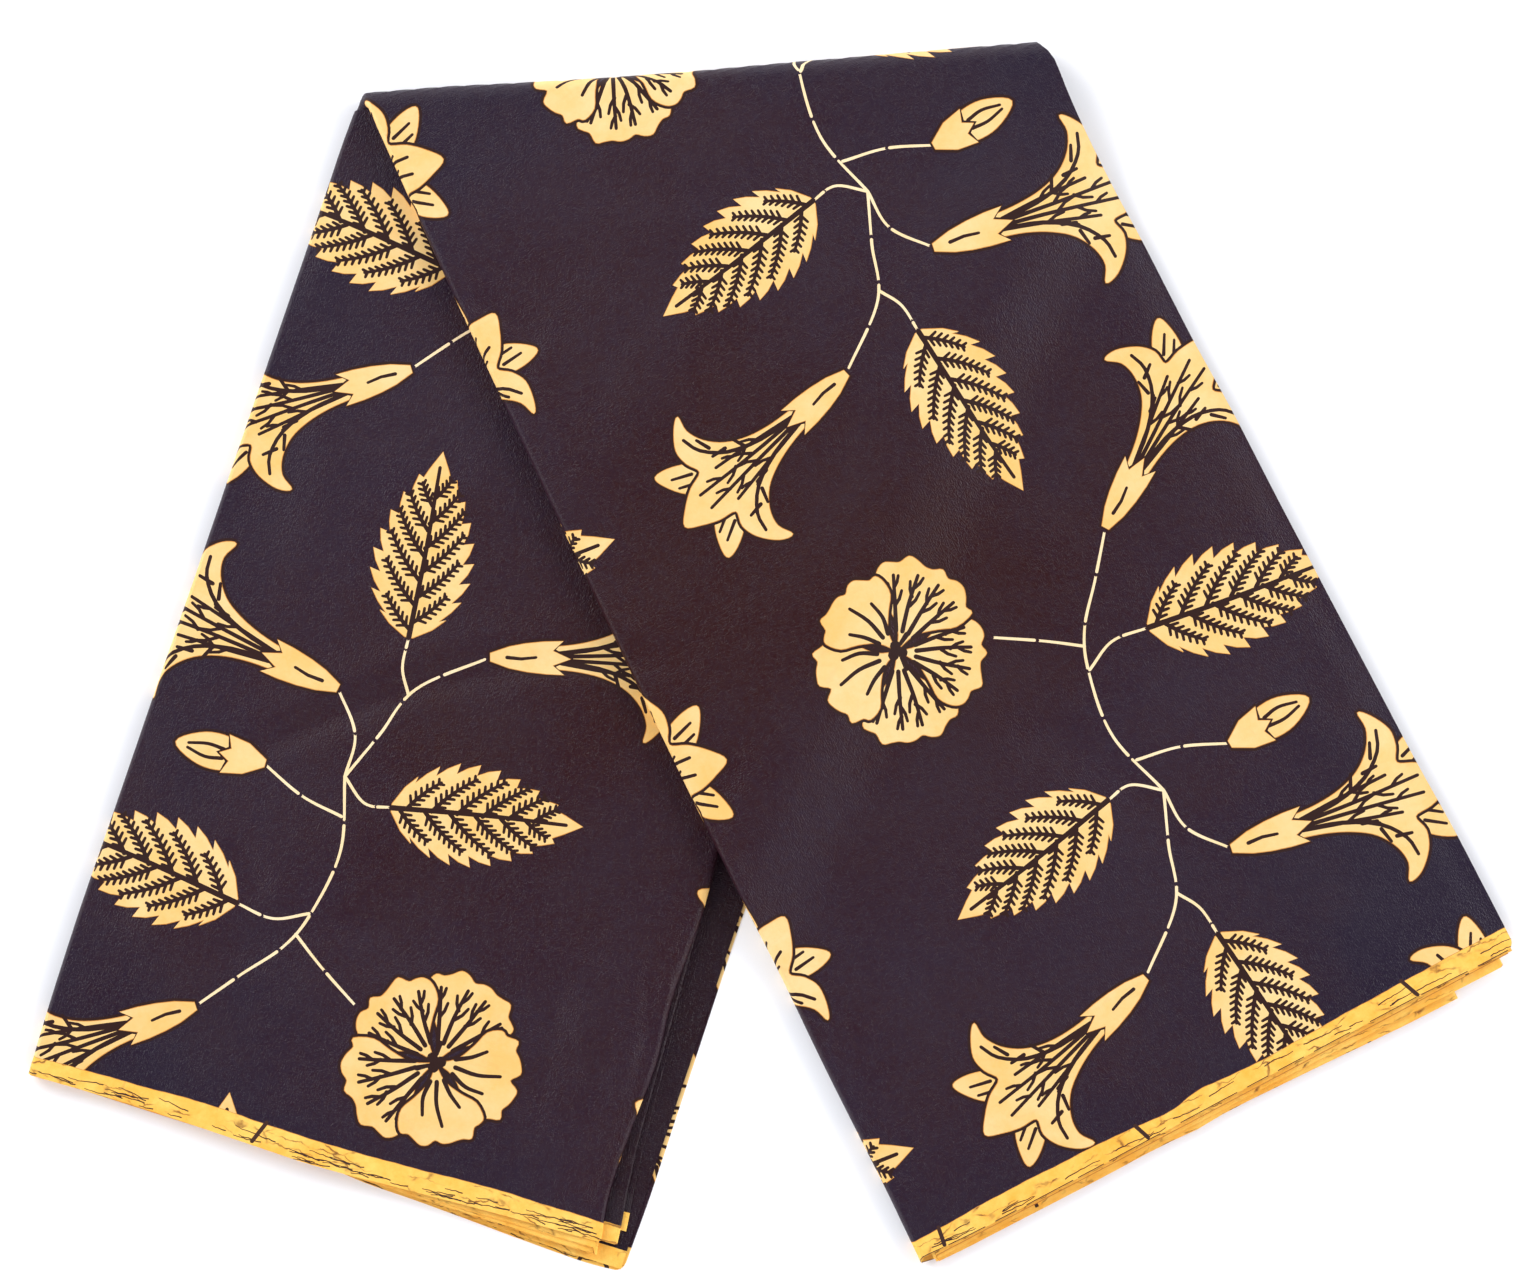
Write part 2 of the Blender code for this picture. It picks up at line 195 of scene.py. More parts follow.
# How far a side bulges out from its straight line: share of its length, then millimetres
CLOSED_WAVES = {
    "left": ((0, .4), (.03, 1.0), (.08, .5), (.15, .2), (.3, 0), (.5, 0), (.6, .6), (.75, 1.3),
             (.83, 2.1), (.92, 1.9), (1, 1.0)),
    "right": ((0, 0), (.7, 0), (.76, -1), (.84, 0), (.95, 0), (1, 1)),
}
FOLD_WAVE = ((0, -.5), (.14, 0), (.26, -1.1), (.38, -1.7), (.5, -1.5), (.62, -.5), (.74, 0), (.86, .5),
             (1, 1.1))
OPEN_EDGES = {
    "left": {
        "widest": ((0, 0), (.6, 0), (.72, -1.4), (.95, -1.1), (1, -2.4)),
        "cut": ((0, -.8), (.68, -2.6), (1, -3.6)),
        "small": ((0, -2), (.35, -10), (.66, -21), (.735, -20), (.925, -11.5), (.975, -6.8), (1, -5.5)),
        "double": ((0, -4.2), (.35, -12), (.66, -22), (.735, -21), (.925, -14.8), (.975, -9.6), (1, -8.5)),
        "big": ((0, -6), (.35, -13), (.62, -22), (.675, -23.5), (.716, -20.7), (.755, -21.3), (.8, -22.6),
                (.84, -18.6), (.87, -20.1), (.94, -21.9), (.97, -20.2), (1, -15)),
    },
    "right": {
        "widest": ((0, 0), (.04, -2.6), (.08, -3.6), (.14, -3.3), (.2, -2.4), (.32, -3), (.4, -2), (.5, -2.5),
                   (.8, -2.3), (.88, -1.1), (1, -1.5)),
        "cut": ((0, -.8), (.08, -4.6), (.2, -3.6), (.8, -3.4), (1, -3.6)),
        "small": ((0, -2), (.08, -5.6), (.2, -4.8), (.8, -4.8), (1, -6)),
        "double": ((0, -4.2), (.08, -6.6), (.5, -6), (.8, -6.6), (1, -11)),
        "big": ((0, -6), (.3, -9), (.7, -12), (.85, -20), (1, -38)),
    },
}
TABLE_BLUR = (-0.02, -0.01, 0.0, 0.01, 0.02)


def read(table, share):
    """The value of a table at a share, with its corners softened."""
    places, values = zip(*table)
    return sum(np.interp(share + shift, places, values) for shift in TABLE_BLUR) / len(TABLE_BLUR) * MM


print("a ply takes", round(PITCH / MM, 3), "mm of the stack")

# %% [markdown]
# Plan points are pairs of numbers in numpy arrays, so that one formula moves thousands of points
# at once. `Leg` holds the plan of one leg: its closed side, its open side, its fold line and end.

# %% Plan of the two legs


def smooth(t):
    """A soft step from 0 at t = 0 to 1 at t = 1."""
    t = np.clip(t, 0.0, 1.0)
    return t * t * (3 - 2 * t)


def mix(a, b, t):
    """The value a share t of the way from a to b."""
    return a + (b - a) * t


def direction(angle):
    """The unit vector at an angle from +X, in plan."""
    return np.array((math.cos(angle), math.sin(angle)))


def right_of(line):
    """The unit vector to the right of a line in plan."""
    return np.array((line[1], -line[0])) / np.hypot(*line)


FOLD_AXIS = direction(FOLD_TILT)
FOLD_OUT = direction(FOLD_TILT + math.pi / 2)
FOLD_START = FOLD_CORNER - FOLD_OUT * TURN_RADIUS


class Leg:
    """The plan of one leg, in its own across and down directions."""

    def __init__(self, name, drift):
        size = LEG_SIZES[name]
        self.name, self.size, self.edges = name, size, OPEN_EDGES[name]
        self.widest_on_top = name == "right"
        angle = math.radians(size.heading)
        self.across, self.down = direction(angle), direction(angle - math.pi / 2)
        self.fold_closed = FOLD_START + FOLD_AXIS * TURN_DRIFT_CLOSED * drift
        self.fold_open = FOLD_START + FOLD_AXIS * (FOLD_LENGTH + TURN_DRIFT_OPEN * drift)
        closed_way = direction(math.radians(size.closed_heading) - math.pi / 2)
        self.end_closed = FOLD_CORNER + closed_way * size.closed_length
        self.end_open = self.end_closed + self.across * size.end_width - self.down * size.end_recede
        self.closed_reach, self.fold_reach, self.open_reach = map(
            self.local, (self.end_closed, self.fold_open, self.end_open))

    def local(self, p):
        """Across and down distances of a plan point from the closed side's fold corner."""
        step = np.asarray(p) - self.fold_closed
        return step @ self.across, step @ self.down

    def plan(self, across, down):
        """The plan points at across and down distances."""
        return self.fold_closed + np.multiply.outer(across, self.across) + np.multiply.outer(down, self.down)

    def closed_side(self, down):
        """Across distance of the closed side, which bows a little."""
        share = down / self.closed_reach[1]
        bow = self.size.bow * 4 * np.clip(share, 0, 1) * (1 - np.clip(share, 0, 1))
        return self.closed_reach[0] * share - bow - read(CLOSED_WAVES[self.name], share)

    def open_side(self, down, kind):
        """Across distance of one kind of open edge."""
        share = (down - self.fold_reach[1]) / (self.open_reach[1] - self.fold_reach[1])
        return mix(self.fold_reach[0], self.open_reach[0], share) + read(self.edges[kind], share)

    def fold_line(self, across):
        """Down distance of the fold line."""
        return across * self.fold_reach[1] / self.fold_reach[0]

    def end_line(self, across):
        """Down distance of the widest ply's end."""
        share = (across - self.closed_reach[0]) / (self.open_reach[0] - self.closed_reach[0])
        return mix(self.closed_reach[1], self.open_reach[1], share)

    def softness(self, p):
        """Share of the inner plies' full height: less at the open side and at the end."""
        from_edge = (self.end_open - p) @ right_of(self.fold_open - self.end_open)
        from_fold = (FOLD_START - p) @ FOLD_OUT
        soft = self.size.edge_soft
        near_edge = smooth((soft - from_edge) / soft) * smooth(from_fold / FOLD_SOFT)
        near_end = smooth((END_SOFT - (self.end_closed - p) @ self.down) / END_SOFT)
        return (1 - (1 - self.size.edge_low) * near_edge) * (1 - (1 - END_LOW) * near_end)


LEFT = Leg("left", -1)
RIGHT = Leg("right", 1)
for leg in (LEFT, RIGHT):
    long, wide = np.round((leg.closed_reach[1], leg.open_reach[0]), 3)
    print(leg.name, "leg:", long, "m long,", wide, "m wide")

# %% [markdown]
# A cloth that lies on a table is never quite flat. The main soft troughs and ridges are listed one
# by one, each with its own length, width and depth, and long low waves lie between them. All plies
# of a leg share the same relief, a ply high in the stack more than one near the table.

# %% Soft folds
# From and to are plan points in metres; width and depth are in millimetres, a ridge is negative
Crease = namedtuple("Crease", "x0 y0 x1 y1 width depth")
CREASES = {
    "left": [
        Crease(-0.285, -0.062, -0.045, -0.020, 8, 2.1),
        Crease(-0.270, -0.040, -0.060, -0.004, 11, -1.1),
        Crease(-0.240, -0.105, -0.120, -0.085, 15, -1.1),
        Crease(-0.278, -0.100, -0.262, -0.130, 7, 1.2),
        Crease(-0.300, -0.165, -0.180, -0.150, 11, 1.1),
        Crease(-0.330, -0.140, -0.290, -0.190, 13, -1.2),
        Crease(-0.250, -0.180, -0.120, -0.195, 9, -0.9),
        Crease(-0.150, -0.165, -0.085, -0.240, 7, 1.0),
        Crease(-0.130, -0.155, -0.075, -0.180, 6, -0.7),
        Crease(-0.170, -0.215, -0.100, -0.285, 9, -1.0),
        Crease(-0.160, 0.180, -0.120, 0.150, 5, 0.9),
        Crease(-0.150, 0.168, -0.115, 0.138, 5, -0.8),
        Crease(-0.190, 0.120, -0.160, 0.080, 9, 0.9),
        Crease(-0.230, 0.130, -0.255, 0.040, 15, -1.1),
        Crease(-0.140, 0.060, -0.090, 0.040, 8, 0.8),
        Crease(-0.092, -0.170, -0.128, -0.262, 6, -0.9),
        Crease(-0.108, -0.165, -0.140, -0.250, 5, 0.8),
        Crease(-0.215, -0.220, -0.130, -0.232, 4, 0.5),
        Crease(-0.052, -0.150, -0.091, -0.296, 4, -1.2),
        Crease(-0.062, -0.150, -0.101, -0.292, 4, 1.1),
        Crease(-0.072, -0.190, -0.112, -0.288, 6, -0.7),
    ],
    "right": [
        Crease(0.095, 0.240, 0.200, 0.150, 22, -1.3),
        Crease(0.030, 0.260, 0.110, 0.190, 16, 0.7),
        Crease(0.180, 0.110, 0.240, 0.000, 18, -0.9),
        Crease(0.060, 0.120, 0.170, 0.060, 20, 0.8),
        Crease(-0.110, 0.215, 0.010, 0.200, 14, -0.7),
        Crease(-0.040, 0.150, 0.050, 0.160, 14, 0.6),
        Crease(0.020, 0.020, 0.120, -0.060, 18, -0.8),
        Crease(0.120, -0.040, 0.200, -0.090, 12, 0.9),
        Crease(0.060, -0.130, 0.170, -0.170, 16, -0.7),
        Crease(0.200, -0.110, 0.290, -0.060, 14, 0.8),
        Crease(0.240, -0.020, 0.310, -0.090, 14, -0.9),
        Crease(0.100, -0.220, 0.180, -0.260, 10, 0.7),
        Crease(0.220, -0.180, 0.330, -0.140, 9, -0.6),
        Crease(-0.010, 0.080, -0.060, 0.110, 12, 0.5),
    ],
}
# How far a crease wanders off its line, and the share of its length over which it fades out
WANDER = 0.10
FADE = 0.35
# Long low waves: how many to a metre along X and Y, their start, and height in millimetres
Wave = namedtuple("Wave", "x y start height")
WAVES = (Wave(5.3, 2.1, 0.3, 0.45), Wave(-2.7, 6.4, 1.9, 0.40), Wave(9.1, 7.7, 4.0, 0.16),
         Wave(12.3, -10.9, 2.2, 0.11), Wave(-19.0, 14.0, 0.8, 0.05), Wave(17.0, 23.0, 3.1, 0.045))
RELIEF_FROM_FOLD = 0.035
RELIEF_FROM_SIDE = 0.012


def relief(leg, p):
    """Height that the soft folds add to the top of a leg."""
    total = np.zeros(len(p))
    for wave in WAVES:
        total += wave.height * MM * np.sin(math.tau * (wave.x * p[:, 0] + wave.y * p[:, 1]) + wave.start)
    for crease in CREASES[leg.name]:
        start = np.array((crease.x0, crease.y0))
        way = np.array((crease.x1, crease.y1)) - start
        length = np.hypot(*way)
        way = way / length
        run = (p - start) @ way
        side = (p - start) @ np.array((-way[1], way[0]))
        wander = WANDER * length * np.sin(run / length * 2.6)
        fade = smooth(run / (FADE * length) + 0.3) * smooth((length - run) / (FADE * length) + 0.3)
        total -= crease.depth * MM * fade * np.exp(-((side - wander) / (crease.width * MM)) ** 2)
    across, down = leg.local(p)
    from_closed = across - leg.closed_side(down)
    from_open = leg.open_side(down, "widest" if leg.widest_on_top else "big") - across
    hold = smooth((FOLD_START - p) @ FOLD_OUT / RELIEF_FROM_FOLD)
    return total * hold * smooth(from_closed / RELIEF_FROM_SIDE) * smooth(from_open / RELIEF_FROM_SIDE + 0.3)


def lift_share(p):
    """How far the right leg is held up by the left one at a plan point: 1 on it, 0 on the table."""
    start_fold = LEFT.fold_open + LEFT.across * RAMP_PAST_EDGE_AT_FOLD
    crossing_down = mix(LEFT.fold_reach[1], LEFT.open_reach[1], CROSSING)
    reach = mix(LEFT.fold_reach[0], LEFT.open_reach[0], CROSSING) + RAMP_PAST_EDGE_AT_CROSSING
    line = start_fold - LEFT.plan(reach, crossing_down)
    return 1 - smooth((p - start_fold) @ right_of(line) / RAMP_WIDTH)


def on_leg(leg, p, height):
    """Points over the plan points p at heights in the full stack, pressed as the stack is there."""
    in_core = np.clip(height - CORE_LOW, 0, CORE_HIGH - CORE_LOW)
    z = height - in_core * (1 - leg.softness(p)) + relief(leg, p) * np.maximum(height - CLOTH, 0) / STACK
    if leg is RIGHT:
        share = lift_share(p)
        z = z + share * LIFT + share * np.minimum(relief(LEFT, p), 0.0)
    return np.column_stack((p, z))


print("soft folds:", {name: len(rows) for name, rows in CREASES.items()})

# %% [markdown]
# The print is one of ordinary flowers and leaves, in cream-yellow wax on the dark dye, and it is
# drawn from scratch. A point of the drawing is one complex number, because turning and scaling a
# motif is then a single multiplication. Each motif is a pile of filled shapes, and the last one
# painted wins.

# %% Drawing tools
# The last paint is the ground darkened with painted shade, for the plies deep in the folds.
GROUND, BLEED_AND_EDGE_SHADE, WAX, VEIN, STEM, BAND, BAND_MARK_AND_SHADE_LINE, PAINTED_SHADE_GROUND = range(8)
BLEED_WIDTH = 0.40 * MM
OUTLINE = 1.5 * MM
FINE_LINE = (2.0 * MM, 1.5 * MM)


def along(degrees):
    """The unit step at an angle, as a complex number."""
    return cmath.rect(1, math.radians(degrees))


def scaled(pairs, size):
    """Drawing points from pairs that are written for a size of 1."""
    return [complex(x, y) * size for x, y in pairs]


def joined(xs, ys):
    """Drawing points from their two coordinates."""
    return [complex(x, y) for x, y in zip(xs, ys)]


def box(ring):
    """The lowest and the highest corner round a ring."""
    xs, ys = [z.real for z in ring], [z.imag for z in ring]
    return complex(min(xs), min(ys)), complex(max(xs), max(ys))


def flow(points, steps=5, closed=False):
    """A smooth curve through given points."""
    if closed:
        padded = points[-1:] + points + points[:2]
    else:
        padded = [2 * points[0] - points[1]] + points + [2 * points[-1] - points[-2]]
    out = []
    for a, b, c, d in zip(padded, padded[1:], padded[2:], padded[3:]):
        for t in (i / steps for i in range(steps)):
            out.append((2 * b + (c - a) * t + (2 * a - 5 * b + 4 * c - d) * t ** 2
                        + (3 * b - a - 3 * c + d) * t ** 3) / 2)
    return out if closed else out + points[-1:]


def left_of(path, closed=False):
    """The unit step to the left of a path at each of its points."""
    before = (path[-1:] if closed else path[:1]) + path[:-1]
    after = path[1:] + (path[:1] if closed else path[-1:])
    steps = [b - a for a, b in zip(before, after)]
    return [1j * step / (abs(step) or 1) for step in steps]


def grown(outline, by):
    """An anticlockwise outline moved outwards."""
    return [z - s * by for z, s in zip(outline, left_of(outline, closed=True))]


def turns_left(outline):
    """True for an outline that runs anticlockwise."""
    return sum((a.conjugate() * b).imag for a, b in zip(outline, outline[1:] + outline[:1])) > 0


class Drawing:
    """A pile of filled shapes, each a paint and an outline."""

    def __init__(self):
        self.shapes = []

    def fill(self, outline, paint=WAX, edge=0.0):
        """Paint a shape. Wax bleeds a little into the dye, and edge draws a dark line round it."""
        if not turns_left(outline):
            outline = outline[::-1]
        if edge:
            self.shapes.append((VEIN, grown(outline, edge + BLEED_WIDTH)))
        if paint == WAX:
            self.shapes.append((BLEED_AND_EDGE_SHADE, grown(outline, BLEED_WIDTH)))
        self.shapes.append((paint, outline))

    def line(self, path, first, last, paint=VEIN):
        """A line along a path, from one width to another, with rounded ends."""
        n = len(path) - 1
        half = [mix(first, last, k / n) / 2 for k in range(n + 1)]
        side = left_of(path)
        ring = [z + s * h for z, s, h in zip(path, side, half)]
        ring += [path[-1] + side[-1] * along(-turn) * half[-1] for turn in (45, 90, 135)]
        ring += [z - s * h for z, s, h in zip(path[::-1], side[::-1], half[::-1])]
        ring += [path[0] - side[0] * along(-turn) * half[0] for turn in (45, 90, 135)]
        self.fill(ring, paint)

    def put(self, other, place, heading, size=1.0, mirrored=False):
        """Place another drawing in this one."""
        turn = along(heading) * size
        for paint, ring in other.shapes:
            ring = [z.conjugate() for z in ring] if mirrored else ring
            self.shapes.append((paint, [place + z * turn for z in ring]))


print("paints:", PAINTED_SHADE_GROUND + 1)

# %% [markdown]
# A vein starts wide, thins out and forks like a twig. One function draws the vein with its side
# twigs, so a whole petal of veins is one line of code. The random numbers have a fixed seed.

# %% Veins
# Where a twig leaves its vein, as a share of the vein, and to which side
TWIGS = ((0.45, 1), (0.62, -1), (0.78, 1))


def branching(drawing, start, way, reach, width, rng, twigs, bend, twig_reach):
    """A vein from start along way, with side twigs that leave it in turn."""
    mid = start + way * along(rng.uniform(-bend, bend)) * reach * 0.5
    end = mid + way * along(rng.uniform(-bend, bend)) * reach * 0.5
    drawing.line(flow([start, mid, end], 3), width, width * 0.75)
    for share, sign in TWIGS[:twigs]:
        root = start + (end - start) * share
        twig = way * along(sign * rng.uniform(30, 40))
        length = reach * (twig_reach - 0.22 * share)
        path = [root, root + twig * length * 0.5, root + twig * along(-sign * 9) * length]
        drawing.line(path, width * 0.85, width * 0.65)


print("a vein has up to", len(TWIGS), "twigs")

# %% [markdown]
# The leaf is a saw-toothed outline about a midrib. Its side veins carry short barbs, like a fern.

# %% Leaf
LEAF_VEIN = (2.4 * MM, 1.6 * MM)
BARB = (1.9 * MM, 1.5 * MM)
BARB_PITCH = 3.5 * MM


def leaf(length=98 * MM, width=54 * MM, teeth=9, veins=6):
    """A serrated leaf along +x."""
    drawing = Drawing()

    def half(t):
        return width / 2 * math.sin(math.pi * t ** 0.78) ** 0.75 * (1 - 0.10 * t)

    def edge(sign):
        out = []
        for k in range(teeth):
            near, far = k / teeth, (k + 1) / teeth
            mid = near + 0.55 / teeth
            out.append(complex(near * length, sign * half(near + 0.004) * 0.84))
            out.append(complex(mid * length, sign * half(mid) * 0.97))
            if k < teeth - 1:
                out.append(complex((far + 0.015) * length, sign * (half(far) * 1.05 + 0.5 * MM)))
        return out

    drawing.fill(edge(-1) + [complex(length * 1.05, 0)] + edge(1)[::-1], edge=0.3 * MM)
    drawing.line(flow([0j, 0.5 * length + 0.8j * MM, 0.96 * length + 0j]), 3.0 * MM, 1.9 * MM)
    for t in (0.06 + 0.84 * k / veins for k in range(veins)):
        slant = 54 - 15 * t
        for sign in (1, -1):
            reach = half(min(t + 0.11, 0.95)) * 0.92 / math.sin(math.radians(slant))
            start = complex((t + 0.02 * sign) * length, 0)
            at = [start + along(sign * (slant - 10 * s / 12)) * reach * s / 12 for s in range(0, 13, 2)]
            drawing.line(at, *LEAF_VEIN)
            barbs = int(reach / BARB_PITCH)
            for s in (b / (barbs + 0.4) for b in range(1, barbs + 1)):
                root = start + along(sign * (slant - 10 * s)) * reach * s
                bar = (5.2 - 2.6 * s) * MM * min(1, 0.55 + reach / (30 * MM))
                for side in (50, -50):
                    drawing.line([root, root + along(sign * (slant - 10 * s) + side) * bar], *BARB)
    return drawing


print("the leaf has", len(leaf().shapes), "shapes")

# %% [markdown]
# The open flower has five ruffled petals laid like a pinwheel round a dark eye. Three of them show
# their forked veins, and the two that curl towards the viewer are plain.

# %% Blossom
Petal = namedtuple("Petal", "toward spread reach veined")
PETALS = (Petal(84, 40, 1.0, True), Petal(12, 41, 0.97, True), Petal(156, 42, 0.92, False),
          Petal(300, 42, 1.02, True), Petal(228, 40, 0.88, False))


def blossom(radius=47 * MM, seed=4):
    """An open flower seen from the front."""
    rng = random.Random(seed)
    drawing = Drawing()
    for k, petal in enumerate(PETALS):
        big = radius * petal.reach

        def spot(r, a):
            return along(petal.toward + a * petal.spread) * big * r

        base = [spot(0.03, -0.1), spot(0.26, -0.52), spot(0.50, -0.86), spot(0.70, -1.02)]
        back = [spot(0.70, 1.02), spot(0.50, 0.88), spot(0.26, 0.55), spot(0.03, 0.1)]
        margin = []
        for i in range(15):
            a = (i / 7 - 1) * 0.92
            ruffle = 0.032 * math.sin(i * 1.9 + 2 * k) + 0.018 * math.sin(i * 3.1 + k)
            margin.append(spot(1 - 0.17 * abs(a) ** 3 - 0.05 * math.exp(-(a * 7) ** 2) + ruffle, a))
        drawing.fill(flow(base + margin + back, 3, closed=True), edge=OUTLINE)
        if petal.veined:
            for a in (-0.63, -0.21, 0.21, 0.63):
                way = along(petal.toward + a * petal.spread)
                reach = big * (0.64 - 0.08 * abs(a))
                branching(drawing, way * big * 0.22, way, reach, 2.4 * MM, rng, 3, 5, 0.40)
        else:
            for a, reach in ((-0.52, 0.62), (0.02, 0.78), (0.5, 0.66)):
                middle = spot(mix(0.24, reach, 0.5), a * 1.1 + 0.06)
                path = [spot(0.24, a), middle, spot(reach, a * 1.05 - 0.05)]
                drawing.line(flow(path, 4), 2.4 * MM, 1.7 * MM)
    for a in (18, 138, 258):
        drawing.fill([(along(a) * 2.7 + along(t) * 2.9) * MM for t in range(0, 360, 36)], VEIN)
    for a in (60, 190, 300):
        drawing.line([along(a) * 4 * MM, along(a + 6) * 10 * MM], 2.0 * MM, 2.8 * MM)
    return drawing


print("the blossom has", len(blossom().shapes), "shapes")

# %% [markdown]
# The bell is seen from the side: a toothed calyx, a slender tube, and a mouth that flares into
# five pointed lobes. It is painted from the back to the front, so each lobe covers what lies behind.

# %% Bell and bud
BELL_BACK = ((.74, .06), (.82, .17), (.93, .245), (1.02, .265), (1.015, .20), (.96, .10), (.86, .02))
BELL_UPPER = ((.16, .040), (.30, .052), (.44, .068), (.56, .10), (.66, .155), (.73, .235), (.76, .325),
              (.745, .405), (.80, .37), (.86, .29), (.865, .21), (.845, .135))
BELL_FRONT = ((.93, .105), (1.01, .055), (1.075, -.01), (1.01, -.06), (.93, -.10))
BELL_LOWER = ((.845, -.125), (.87, -.20), (.85, -.285), (.785, -.37), (.72, -.395), (.745, -.315),
              (.72, -.23), (.65, -.15), (.55, -.10), (.43, -.068), (.30, -.052), (.16, -.040))
BELL_CALYX = ((0, .018), (.09, .050), (.18, .068), (.27, .078), (.355, .082), (.30, .036), (.385, .004),
              (.30, -.034), (.35, -.080), (.26, -.076), (.17, -.066), (.09, -.050), (0, -.018))
BUD_BODY = ((0, 0), (.35, -.17), (.7, -.18), (1, 0), (.7, .18), (.35, .17))
BUD_CUP = ((-.02, -.04), (.2, -.17), (.44, -.215), (.38, -.07), (.50, 0), (.38, .07), (.44, .215), (.2, .17),
           (-.02, .04))


def bell(length=112 * MM, seed=6):
    """A bell-shaped flower, its calyx at 0 and its mouth towards +x."""
    rng = random.Random(seed)
    drawing = Drawing()
    for s in (-1, 1):
        lobe = scaled([(x, y * s) for x, y in BELL_BACK], length)
        drawing.fill(flow(lobe, 4, closed=True), edge=OUTLINE)
        for y in (.10, .155):
            drawing.line(scaled([(x, (y + up) * s) for x, up in ((.88, 0), (.97, .045))], length), *FINE_LINE)
    mouth = scaled(BELL_UPPER + BELL_FRONT + BELL_LOWER, length)
    drawing.fill(flow(mouth, 4, closed=True), edge=OUTLINE)
    for y, out in ((.022, .27), (-.022, -.26)):
        path = ((.33, y), (.52, y * 2.2), (.68, out * .42), (.775, out * .78), (.80, out * 1.12))
        drawing.line(flow(scaled(path, length), 3), 2.5 * MM, 1.8 * MM)
        for share, a in ((0.58, 32), (0.74, -30), (0.86, 34)):
            root = complex(mix(.33, .80, share), mix(y, out, share ** 2.6)) * length
            way = along((40 if out > 0 else -40) + a)
            drawing.line([root, root + way * 8 * MM], 2.2 * MM, 1.7 * MM)
    for y, reach in ((-.12, .46), (-.035, .58), (.05, .58), (.125, .44)):
        start = complex(.34, y * .2)
        way = complex(.93, y) - start
        way = way / abs(way)
        branching(drawing, start * length, way, reach * length, 2.3 * MM, rng, 3, 2, 0.29)
    drawing.fill(scaled(BELL_CALYX, length), edge=OUTLINE)
    drawing.line(scaled(((.08, .0), (.15, .006), (.22, -.002)), length), *FINE_LINE)
    return drawing


def bud(length=46 * MM):
    """A closed bud on its calyx, along +x."""
    drawing = Drawing()
    drawing.fill(flow(scaled(BUD_BODY, length), 5, closed=True), edge=OUTLINE)
    for y in (-.06, .045):
        drawing.line(flow(scaled(((.46, y), (.65, 1.4 * y), (.86, .5 * y)), length), 4), *FINE_LINE)
    drawing.fill(scaled(BUD_CUP, length), edge=OUTLINE)
    return drawing


print("the bell has", len(bell().shapes), "shapes and the bud", len(bud().shapes))

# %% [markdown]
# The stems are wiry and break off at each joint, as a hand-held wax tool leaves them. One unit of
# the print repeats over the whole cloth, each column shifted by half a unit, as printers set it.

# %% One unit of the print
STEM_WIDTH = 1.6 * MM
STEM_JOINT = 24 * MM
STEM_GAP = 3.0 * MM
UNIT_ACROSS = 330
UNIT_DOWN = 345
PRINT_START = 60 - 40j

# Places are in millimetres in the unit, the heading in degrees
Motif = namedtuple("Motif", "kind x y heading size mirrored")
LAYOUT = (
    Motif("blossom", 70, 72, 20, 1.0, False),
    Motif("bell", 195, 62, -35, 0.95, False),
    Motif("leaf", 192, 118, 6, 1.0, False),
    Motif("leaf", 132, 188, 168, 0.95, True),
    Motif("bud", 202, 190, -4, 1.0, False),
    Motif("bell", 178, 238, 8, 1.0, True),
    Motif("bell", 109, 277, 163, 0.95, False),
    Motif("leaf", 152, 274, 82, 0.95, False),
)
STEMS = (
    (160 + 196j, 150 + 160j, 154 + 125j, 162 + 104j, 178 + 84j, 195 + 62j),
    (158 + 112j, 140 + 100j, 116 + 86j),
    (155 + 124j, 172 + 116j, 192 + 118j),
    (160 + 196j, 146 + 186j, 132 + 188j),
    (155 + 176j, 178 + 180j, 202 + 190j),
    (160 + 196j, 162 + 218j, 178 + 238j),
    (160 + 196j, 150 + 222j, 140 + 250j, 109 + 277j),
    (143 + 246j, 150 + 258j, 152 + 274j),
)


def stem(drawing, points):
    """A stem through points in millimetres, in short lengths with a gap at each joint."""
    path = flow([p * MM for p in points], 12)
    start, run = 0, 0.0
    for k in range(1, len(path)):
        run += abs(path[k] - path[k - 1])
        if run > STEM_JOINT or k == len(path) - 1:
            if k - start > 1:
                piece = path[start:k + 1]
                step = piece[-1] - piece[-2]
                piece[-1] -= step / abs(step) * STEM_GAP
                drawing.line(piece, STEM_WIDTH, STEM_WIDTH * 0.8, STEM)
            start, run = k, 0.0


def print_unit():
    """One repeat of the print."""
    kinds = {"leaf": leaf(), "blossom": blossom(), "bell": bell(), "bud": bud()}
    unit = Drawing()
    for points in STEMS:
        stem(unit, points)
    for kind, x, y, heading, size, mirrored in LAYOUT:
        unit.put(kinds[kind], complex(x, y) * MM, heading, size, mirrored)
    return unit


PRINT_UNIT = print_unit()


def printed(ring):
    """The shapes of the whole print that reach into the box of a flat outline."""
    low, high = box(ring)
    wide, tall = UNIT_ACROSS * MM, UNIT_DOWN * MM
    out = []
    for i in range(math.floor(low.real / wide) - 1, math.ceil(high.real / wide) + 1):
        half_drop = 0.5 if i % 2 else 0.0
        for j in range(math.floor(low.imag / tall) - 2, math.ceil(high.imag / tall) + 1):
            place = complex(i * UNIT_ACROSS, (j + half_drop) * UNIT_DOWN) * MM + PRINT_START * MM
            for paint, shape in PRINT_UNIT.shapes:
                moved = [z + place for z in shape]
                near, far = box(moved)
                if (far.real > low.real and near.real < high.real
                        and far.imag > low.imag and near.imag < high.imag):
                    out.append((paint, moved))
    return out


print("one unit of the print has", len(PRINT_UNIT.shapes), "shapes")

